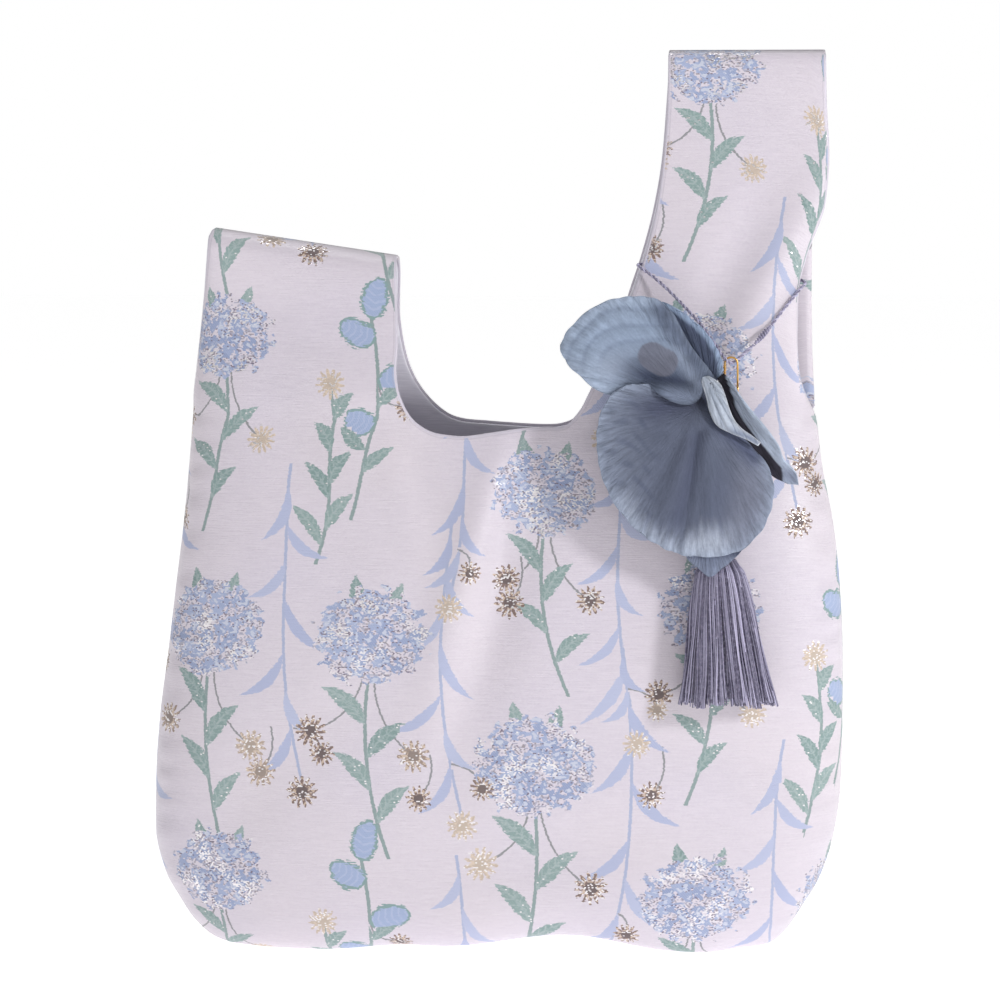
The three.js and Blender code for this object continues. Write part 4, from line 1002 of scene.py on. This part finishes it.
# Petals, in mm from the flower's root. Each row joins edge a to edge b: ax, az, aOut, bx, bz, bOut, crown.
petals = {
    "petal_upper": [
        [3, 4.4, 4, -1.6, -0.6, 5.5, 0.3], [1, 7, 4.6, -4.1, -3.2, 7.5, 1], [-2.5, 11, 5.2, -6.8, -3.9, 8.5, 1.5],
        [-5.9, 15.7, 5.7, -10.2, -3.2, 8.5, 2], [-8.7, 20.6, 6.1, -14.2, -1.2, 8, 2.4],
        [-12, 26.9, 6.5, -18.6, 1.3, 6.4, 2.8], [-16.9, 30.8, 7, -23.4, 0.5, 5, 3.2],
        [-22.8, 31.7, 7.5, -28.1, -1, 4.4, 3.2], [-29.6, 31.1, 8, -32, -1.4, 4.8, 3],
        [-35.5, 29.2, 8, -35.7, 0.2, 6, 2.5], [-40.6, 25.8, 7.5, -39.4, 2.8, 6.5, 2],
        [-44.9, 21.7, 6.5, -43.4, 6.3, 6.5, 1.2], [-47.4, 17.6, 5.5, -46.6, 10.2, 6, 0.5],
        [-48.4, 14.8, 5, -48.4, 13.6, 5, 0]],
    "petal_behind": [
        [5.6, 4.5, 1.5, 0, 2, 1.5, 0], [5.6, 8.5, 1.8, -4, 6, 1.5, 0.3], [4.8, 11.7, 2.1, -6, 9, 1.5, 0.4],
        [3.2, 15, 2.4, -8, 12.5, 1.6, 0.4], [1, 18.4, 2.8, -10, 16, 1.8, 0.4], [-1.7, 21.5, 3.2, -12, 19, 2, 0.4],
        [-5.1, 24.4, 3.8, -14, 22.5, 2.5, 0.3], [-8.5, 27, 4.3, -16, 25.5, 3, 0.2],
        [-11.8, 29, 4.6, -17.5, 27.5, 3.5, 0.1], [-14.5, 30, 4.8, -18.5, 29, 4.3, 0]],
    "petal_lower": [
        [-2.2, -2, 0.5, 0.8, -2, 0.5, 0], [-8.5, -1.4, 3.6, 3, -4.7, 2.8, 0],
        [-15.2, 0.5, 5.5, 5.8, -7.4, 3.2, 0.4], [-22, 2.4, 7, 8.5, -10.5, 3.4, 0.8],
        [-28.1, 1.4, 7.6, 11.2, -13.5, 3.6, 1.6], [-32.5, -2.3, 7.4, 13.9, -16.9, 3.8, 2.6],
        [-35, -7.1, 6.8, 16.6, -20.3, 4, 3.6], [-36.3, -12.9, 6.2, 20, -24, 4.2, 4.6],
        [-36.3, -19.6, 5.8, 22, -27.9, 4.4, 5.4], [-35.1, -27.1, 5.5, 22.8, -32.8, 4.6, 5.6],
        [-32.3, -34.5, 5.5, 22.3, -37.9, 5, 5], [-27.4, -42, 5.5, 21, -42.3, 5.2, 4],
        [-21.3, -48.1, 5.5, 18.3, -47.4, 5.4, 2.6], [-13.9, -52.6, 5.5, 12.6, -52.8, 5.5, 1.2],
        [-5.1, -55.4, 5.5, 3.7, -55.6, 5.5, 0.2]],
    "petal_fold": [
        [-2.2, 4.6, 6.5, 1, 5, 6.5, 0], [-1.2, 2.4, 7.2, 4.6, 2.6, 7.6, 0.4], [0.4, -2, 7.8, 6.4, -1.4, 8.6, 0.8],
        [1.6, -6.6, 8, 7.8, -5.6, 9.3, 1], [3.8, -10.8, 8, 9.6, -9.4, 9.3, 0.8],
        [8.2, -13.3, 7.6, 12.2, -12.2, 8.5, 0.4], [13.2, -15.4, 7.2, 14.9, -14.2, 7.6, 0.2],
        [17.6, -17.9, 6.8, 18.4, -16.9, 7, 0.1]],
    "petal_outer": [
        [4.1, 4.4, 2, 6.3, 5.8, 2.5, 0], [5, 0.7, 2.5, 9.2, 3, 5, -0.8], [6.2, -3.4, 3, 12, -1.4, 6.5, -1.2],
        [7.2, -7.6, 3, 15.4, -5.8, 7, -1.4], [8.6, -11.4, 2.9, 18.8, -9.8, 7, -1.4],
        [10.6, -15.2, 2.9, 22, -13.9, 7, -1.2], [14, -19.2, 2.9, 24.7, -17.9, 6.5, -1],
        [17.2, -23, 3, 26.4, -22.3, 6, -0.8], [20.4, -26.6, 3.1, 28.8, -24.9, 5, -0.6],
        [23.6, -29.4, 3.2, 30.7, -27.6, 4, -0.4], [28.1, -31, 3, 31.3, -31.4, 3, 0]],
    "petal_tip": [
        [-7.1, -53.5, 4.5, 13.2, -51.8, 4.5, 0.2], [-6.1, -56, 4.5, 11.2, -55, 4.4, 0.5],
        [-4.1, -58.1, 4.2, 8.3, -57.4, 4.2, 0.8], [-1.7, -60, 4, 5.6, -59.6, 4, 0.8],
        [0.3, -61.6, 3.8, 3.5, -61.3, 3.8, 0.4], [1.7, -62.3, 3.8, 2.3, -62.3, 3.8, 0]],
}
# How many grid rows and columns, and where the veins start.
petalGrids = {"petal_upper": (130, 110, (-4, -3)), "petal_behind": (60, 40, (2, 0)),
              "petal_lower": (140, 130, (-3, -6)), "petal_fold": (70, 28, (-2, 8)),
              "petal_outer": (90, 36, (2, 8)), "petal_tip": (36, 48, (0, -40))}
# Creases: height in mm, the x and z of both ends, and width.
creases = {
    "petal_upper": [(2, -15, -0.5, -5, -2, 3), (-1.1, -20, 5, -6, 3.4, 2.4), (1, -13, 24, -2, 8, 2),
                    (-0.6, -20, 24, -8, 11, 2.2), (0.5, -34, 24, -14, 15, 1.8), (-0.6, -40, 16, -22, 11, 2.2)],
    "petal_lower": [(0.9, -5, -14, -14, -44, 2.4), (-1.2, -3, -14, -7, -46, 2), (1, 1, -16, 2, -46, 2.6),
                    (-0.7, -8, -16, -22, -40, 2.6), (-0.8, 5, -20, 14, -44, 3), (0.5, -30, -8, -12, -12, 1.3),
                    (0.45, -32, -15, -16, -18, 1.3), (0.45, -31, -24, -18, -23, 1.4),
                    (-0.4, -31, -11, -14, -14.5, 1.2)]}
# The line that the outer petal's painted shade, its shaded inside next to the fold, reaches to: z downwards, and x.
shadedInsideLine = ([-5.4, -1, 5.3, 9.5, 14.8, 19, 25.4, 28.4], [6.8, 8.5, 10.5, 12.7, 16.9, 20.4, 25.6, 26])
petalBuild = {"wall": 0.7, "inset": 0.15, "back": 1.3}  # back: how far the flower sits back to meet its core


# How far a petal's surface stands out in mm over its plain crowned form, and its colours: the dye, with painted
# shade in its valleys and under rolls and overlapping petals, and painted highlights on a ridge, a rolled tongue and
# a curled rim.
# Creases and painted tones fall off as exp(-(distance / width) squared), and ripples are sines of the angle about the
# root.
def petalForm(name, x, z, angle, reach, rim):
    def crease(ax, az, bx, bz, wide):
        run = np.array([bx - ax, bz - az], float)
        share = np.clip(((x - ax) * run[0] + (z - az) * run[1]) / (run @ run), 0, 1)
        return np.exp(-(np.hypot(x - ax - share * run[0], z - az - share * run[1]) / wide) ** 2)

    def hill(cx, cz, wide, tall, turn=0.0):
        c, s = math.cos(math.radians(turn)), math.sin(math.radians(turn))
        dx, dz = x - cx, z - cz
        return np.exp(-((dx * c + dz * s) / wide) ** 2 - ((dz * c - dx * s) / tall) ** 2)

    def band(level, rise, wide):
        return np.exp(-((z - level - rise * x) / wide) ** 2)

    def edge(wide):
        return np.exp(-np.maximum(rim, 0) / wide)

    def dyeAndPaintedLight(plain, *steps):
        result = np.zeros(x.shape + (3,)) + np.array(colour(*plain)[:3])
        for tone, share in steps:
            result = mix(result, np.array(colour(*tone)[:3]), np.clip(share, 0, 1)[..., None])
        return result

    near = edge(5.0)
    out = sum((high * crease(*line) for high, *line in creases.get(name, [])), np.zeros_like(x))
    if name == "petal_upper":
        out += 0.5 * near * np.sin(angle * 44 + 2 * np.sin(angle * 9)) * ease((reach - 16) / 16)
        arcs = np.sin(1.05 * np.hypot(x + 20, (z - 2) * 1.05) + 1.2 * np.sin(x * 0.23) + 0.8 * np.sin(z * 0.31))
        out += 0.16 * arcs * ease((z - 6) / 8)
        return out, dyeAndPaintedLight(
            (130, 144, 166),
            ((152, 164, 184), near * 0.8),
            ((146, 156, 174), hill(-30, 8, 10, 6) * 0.7),
            # painted shade in the troughs of the ripples
            ((92, 102, 124), ease(-arcs - 0.1) * ease((z - 6) / 8) * 0.26),
            # painted shade in the valley where the petal curls over
            ((76, 84, 104), crease(-15, 27, -4, 10, 4.4) * 0.85),
            # painted shade along the lower part, where the petal dips under the lower petal
            ((52, 59, 80), band(2.2, -0.16, 6.6) * ease((x + 37) / 18) * 0.97),
            # painted highlight on the ridge between the shaded valley and the shaded lower part
            ((132, 142, 162), crease(-10, 13, -2.5, 2, 2.4) * 0.6),
            # painted highlight on the rolled tongue
            ((122, 132, 154), crease(-12, -1, -5, -2, 2.2) * 0.85),
            ((98, 100, 114), ease((crease(-18.3, 12.2, -14, 9.8, 4.6) - 0.34) / 0.12) * 0.9),
            # painted shadow under the tongue's lower edge
            ((70, 78, 98), edge(0.8) * ease((x + 24) / 8) * ease((2 - z) / 3) * 0.8))
    if name == "petal_behind":
        # all but a thin rim is darkened: painted shade behind the upper petal
        return out + 0.3 * near * np.sin(angle * 40), dyeAndPaintedLight(
            (136, 152, 178), ((62, 69, 90), ease((rim - 0.9) / 1.6) * 0.95))
    if name == "petal_lower":
        out += 0.45 * near * np.sin(angle * 38 + 2 * np.sin(angle * 7)) * ease((reach - 14) / 14)
        fibre = np.sin(angle * 61) + np.sin(angle * 103 + 1.3) + np.sin(angle * 27 + 2 * np.sin(angle * 11))
        ragged = 2.2 * np.sin(angle * 8 + 0.6) + 1.6 * np.sin(angle * 17 + 2) + 0.7 * fibre
        frost = (ease((np.hypot(x + 5, z + 22) - 22 + ragged) / 11) * ease((-28 - z) / 14) * ease((14 - x) / 12)
                 * ease((x + 36) / 14))
        mottle = np.sin(z * 0.9 + 1.6 * np.sin(x * 0.32) + 0.5 * x) * np.sin(x * 0.41 + 1.1 * np.sin(z * 0.37))
        return out, dyeAndPaintedLight(
            (86, 92, 110),
            ((112, 119, 137), ease((-13 - x) / 20) * 0.85),
            ((108, 111, 127), ease((x - 2) / 12) * 0.7),
            ((70, 77, 98), ease(mottle) * ease((-12 - x) / 10) * 0.5),
            ((168, 175, 190), frost * 0.82),
            # painted highlight on the curled rim
            ((142, 152, 172), edge(3.2) * 0.8),
            # painted shade in the middle valley
            ((66, 71, 92), crease(-3, -16, -9, -42, 3.4) * 0.6),
            ((72, 78, 98), hill(5, -32, 5, 14, -16) * 0.4),
            # painted shadow of the upper petal's tongue across the top
            ((66, 70, 92), band(-3, 0.12, 5) * ease((x + 30) / 16) * 0.85),
            # painted shadow under the folded petal's edge
            ((66, 72, 98), crease(4, -10, 16, -22, 3.4) * 0.8))
    if name == "petal_fold":
        return out + 0.25 * np.sin(angle * 60 + 2 * np.sin(angle * 13)) * ease(rim / 2), dyeAndPaintedLight(
            (172, 180, 194),
            ((116, 126, 146), (0.5 + 0.5 * np.sin(angle * 41 + reach * 0.3)) * 0.45),
            ((86, 98, 124), ease((-10.5 - z) / 4) * 0.85),
            ((206, 210, 218), edge(0.5) * 0.7))
    if name == "petal_outer":
        return out + 0.25 * near * np.sin(angle * 50), dyeAndPaintedLight(
            (164, 174, 192),
            ((112, 119, 140), ease((-22 - z) / 6) * 0.8),
            ((168, 179, 198), edge(0.6) * 0.5),
            # painted shade: the outer petal's inside, in shadow behind the fold
            ((42, 40, 50), ease((np.interp(-z, *shadedInsideLine) - x) / 0.8 + 0.5)))
    # the petal tip: darker near its top, painted shade under the lower petal's edge
    return out + 0.2 * np.sin(x * 1.1), dyeAndPaintedLight(
        (98, 106, 128), ((128, 136, 156), near * 0.5), ((60, 64, 84), ease((z + 57.5) / 4) * 0.9))


# Petal cloth: each point's dye with its painted shade and highlights, scaled by strokes and grain.
petalMaterial, shader = newMaterial("petal_cloth")
angle, reach, rim = split(attribute("vein"))
strokes = noise(join(angle * 26.0, reach * 0.16), 1.0, 2.5, 0.62, flat=True)
inward = remap(rim, 0.0, 14.0, 1.0, 0.35)
grain = noise(objectPlace(), 1600.0, 1.0)
shade = addNode("VectorMath", operation="SCALE")
feed(attribute("dyeAndPaintedLight"), shade.inputs[0])
feed((strokes - 0.5) * inward + (grain - 0.5) * 0.2 + 1.0, shade.inputs["Scale"])
feedAll(shader.inputs, {"Base Color": output(shade.outputs[0]), "Roughness": 0.85, "Sheen Weight": 0.04,
                        "Specular IOR Level": 0.25})
bump(shader, strokes * inward, 0.0009, 0.8)

for name, rows in petals.items():
    rows = np.array(rows)
    n, m, (rootX, rootZ) = petalGrids[name]
    a, b = throughPoints(rows[:, :3], n), throughPoints(rows[:, 3:6], n)
    crown = np.interp(np.linspace(0, len(rows) - 1, n), np.arange(len(rows)), rows[:, 6])
    w = np.linspace(0, 1, m)
    plane = a[:, None] + (b - a)[:, None] * w[None, :, None]
    x, z = plane[..., 0], plane[..., 1]
    outline = np.concatenate([a[:, :2], b[:, :2], plane[-1, :, :2]])
    rim = np.sqrt(((plane[..., None, :2] - outline[None, None]) ** 2).sum(-1).min(-1))
    angle, reach = np.arctan2(z - rootZ, x - rootX), np.hypot(x - rootX, z - rootZ)
    # the angle runs on without a jump where the petal crosses the line to the left of its root
    if name in ("petal_lower", "petal_tip"):
        angle = np.where(angle > math.pi / 2, angle - 2 * math.pi, angle)
    if name == "petal_upper":
        angle = np.where(angle < -2, angle + 2 * math.pi, angle)
    out, tones = petalForm(name, x, z, angle, reach, rim)
    high = plane[..., 2] + crown[:, None] * np.sin(np.pi * w) + out * np.minimum(1, rim / 1.5 + 0.3)
    grid = flowerRoot + np.stack([x, petalBuild["back"] - high, z], -1)
    shell = clothShell(grid, np.ones((n - 1, m - 1), bool), -1, petalBuild["inset"], petalBuild["wall"], 0.3)
    vein = np.stack([angle, reach, rim], -1).reshape(-1, 3)[shell["source"]]
    declare(makeMesh(name + "_cloth", shell["points"], shell["faces"], petalMaterial,
                     pointData={"vein": vein, "dyeAndPaintedLight": tones.reshape(-1, 3)[shell["source"]]}), name)
print("petals made")

# The flower's core keeps its CAD form.
coreMaterial, shader = newMaterial("petal_core")
feedAll(shader.inputs, {"Base Color": colour(96, 102, 122), "Roughness": 0.8})
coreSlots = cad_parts["flower_core"].data.materials
coreSlots.clear()
coreSlots.append(coreMaterial)

# The tassel: bound hanger and head, and a skirt of fine strands in locks over a plain inner form.
tassel = {"top": flowerRoot + [1.5, 3.4, -9.8], "neck": flowerRoot + [4.6, 4.5, -57.5],
          "foot": flowerRoot + [8, 2, -107.5], "strands": 1100, "locks": 14, "steps": 12, "inner": 0.86,
          "thin": 0.16, "thick": 0.27}
tasselRings = np.array([  # along, and half of the width and depth in mm
    [0, 1.2, 1.2], [0.74, 1.2, 1.2], [0.79, 3.9, 3.9], [0.85, 6, 6], [0.93, 6.5, 6.24], [1, 5.46, 5.2],
    [1.06, 7.8, 6.5], [1.25, 10.2, 7.5], [1.5, 12.2, 7.65], [1.78, 14.6, 7.8], [2, 17, 8]])


# Places on the tassel's axis: 0 at its top, 1 at the neck and 2 at the foot.
def tasselAxis(along):
    along = np.asarray(along, float)[..., None]
    upper = mix(tassel["top"], tassel["neck"], np.clip(along, 0, 1))
    return upper + (tassel["foot"] - tassel["neck"]) * np.clip(along - 1, 0, 1)


rng = np.random.default_rng(11)
along = np.linspace(0, 1.93, 60)
around = np.arange(48) * 2 * math.pi / 48
wides, deeps = between(tasselRings[:, 0], tasselRings[:, 1:], along).T[..., None] * tassel["inner"]
ring = np.stack([np.cos(around) * wides, np.sin(around) * deeps, wides * around * 0], -1)
rings = tasselAxis(along)[:, None] + ring
points = np.concatenate([rings.reshape(-1, 3), tasselAxis(along[[0, -1]])])
faces = ringFaces(len(along), len(around))[:, ::-1]
strands, steps = tassel["strands"], tassel["steps"]
angle = rng.uniform(0, 2 * math.pi, strands)[:, None]
depthShare = 0.82 + 0.18 * rng.uniform(0, 1, strands)[:, None]
lock = np.round(angle / (2 * math.pi) * tassel["locks"])
t = np.linspace(0, 1, steps)[None]
spread = rng.normal(0, 0.05, strands)[:, None]
drift = (lock * 2 * math.pi / tassel["locks"] - angle) * 0.35
turned = angle + drift * t + spread * t * t
ends = 1 - 0.06 * rng.uniform(0, 1, strands)[:, None] ** 2 - (0.5 + 0.5 * np.cos(lock * 2.4)) * 0.035
alongStrand = 1 + t * ends
wides, deeps = between(tasselRings[:, 0], tasselRings[:, 1:], alongStrand.ravel()).T.reshape(2, strands, steps)
wave = 0.25 * np.sin(t * 9 + angle * 7)
paths = tasselAxis(alongStrand) + np.stack([np.cos(turned) * (wides * depthShare + wave),
                                            np.sin(turned) * (deeps * depthShare + wave), turned * 0], -1)
strandPoints, strandFaces = tubes(paths, rng.uniform(tassel["thin"], tassel["thick"], (strands, 1)), 3)
tint = np.repeat(1.25 * rng.uniform(0, 1, strands) ** 1.9, steps * 3 + 2)
# The hanger, head and inner form get a strand tint below 0, which the mix holds at the darkest strand colour; inside
# the skirt it is painted shade between the strands.
tint = np.concatenate([np.full(len(points), -0.35), tint])
declare(makeMesh("tassel_strands", np.concatenate([points, strandPoints]),
                 np.concatenate([faces, strandFaces + len(points)]), silkMaterial, pointData=strandTint(tint)),
        "tassel")

# The ring: a fine gold wire bent into a long eye, wound with itself down one leg.
eye = {"centre": flowerRoot + [8.4, 3.4, 2.1], "width": 5.4, "length": 19, "wire": 1.0, "thick": 0.36,
       "coil": 0.55, "coilTurn": 80, "coilWire": 0.16}
goldMaterial, shader = newMaterial("gold_wire")
feedAll(shader.inputs, {"Base Color": colour(214, 168, 96), "Metallic": 1.0,
                        "Roughness": remap(noise(objectPlace(), 900.0), 0.2, 0.8, 0.22, 0.4)})
angle = np.linspace(0, 2 * math.pi, 121)
arc = (eye["width"] - eye["wire"]) / 2
straight = (eye["length"] - eye["width"]) / 2
loop = eye["centre"] + np.stack([np.cos(angle) * arc, angle * 0, np.sin(angle) * arc
                                 + np.tanh(np.sin(angle) * 6) * straight], -1)
points, faces = tubes(loop[None], eye["thick"], 8)
down = np.linspace(0, 1, 300)
turn = down * eye["coilTurn"]
coil = eye["centre"] + np.stack([np.cos(turn) * eye["coil"] - arc, np.sin(turn) * eye["coil"],
                                 straight * (0.9 - 1.5 * down)], -1)
coilPoints, coilFaces = tubes(coil[None], eye["coilWire"], 5)
declare(makeMesh("charm_ring_wire", np.concatenate([points, coilPoints]),
                 np.concatenate([faces, coilFaces + len(points)]), goldMaterial), "charm_ring")
print("tassel and ring made")

# Floor, surroundings and lights.
stage = {"floorHalf": 9000, "floorLow": -0.05, "glow": 0.73, "lowSky": 1.0, "highSky": 0.27}
floorMaterial, shader = newMaterial("floor")
feedAll(shader.inputs, {"Base Color": (0.9, 0.9, 0.9, 1), "Roughness": 0.9, "Emission Color": (1, 1, 1, 1),
                        "Emission Strength": stage["glow"]})
floorCorners = [[a * stage["floorHalf"], b * stage["floorHalf"], stage["floorLow"]]
                for a, b in ((-1, -1), (1, -1), (1, 1), (-1, 1))]
makeMesh("floor", floorCorners, [[0, 1, 2, 3]], floorMaterial, smooth=False)

scene.world = bpy.data.worlds.new("surroundings")
scene.world.use_nodes = True
drawing["tree"] = scene.world.node_tree
height = split(output(addNode("TexCoord").outputs["Generated"]))[2]
feedAll(drawing["tree"].nodes["Background"].inputs,
        {"Color": (1, 1, 1, 1), "Strength": remap(height, 0.08, 0.2, stage["lowSky"], stage["highSky"])})

lights = [  # name, place and target in m, size in m, power in W
    ("key", (1.35, -1.05, 0.75), (0, 0, 0.15), 0.3, 17),
    ("fill", (-0.7, -0.3, 1.5), (0, 0, 0.25), 0.6, 3),
    ("top", (-0.1, 0.5, 1.5), (0, 0, 0.25), 0.5, 4)]
for name, place, target, size, power in lights:
    light = bpy.data.lights.new(name, "AREA")
    light.shape, light.size, light.energy = "DISK", size, power
    lamp = bpy.data.objects.new(name, light)
    lamp.location = place
    lamp.rotation_euler = (Vector(target) - Vector(place)).to_track_quat("-Z", "Y").to_euler()
    scene.collection.objects.link(lamp)
scene.view_settings.view_transform = "Standard"
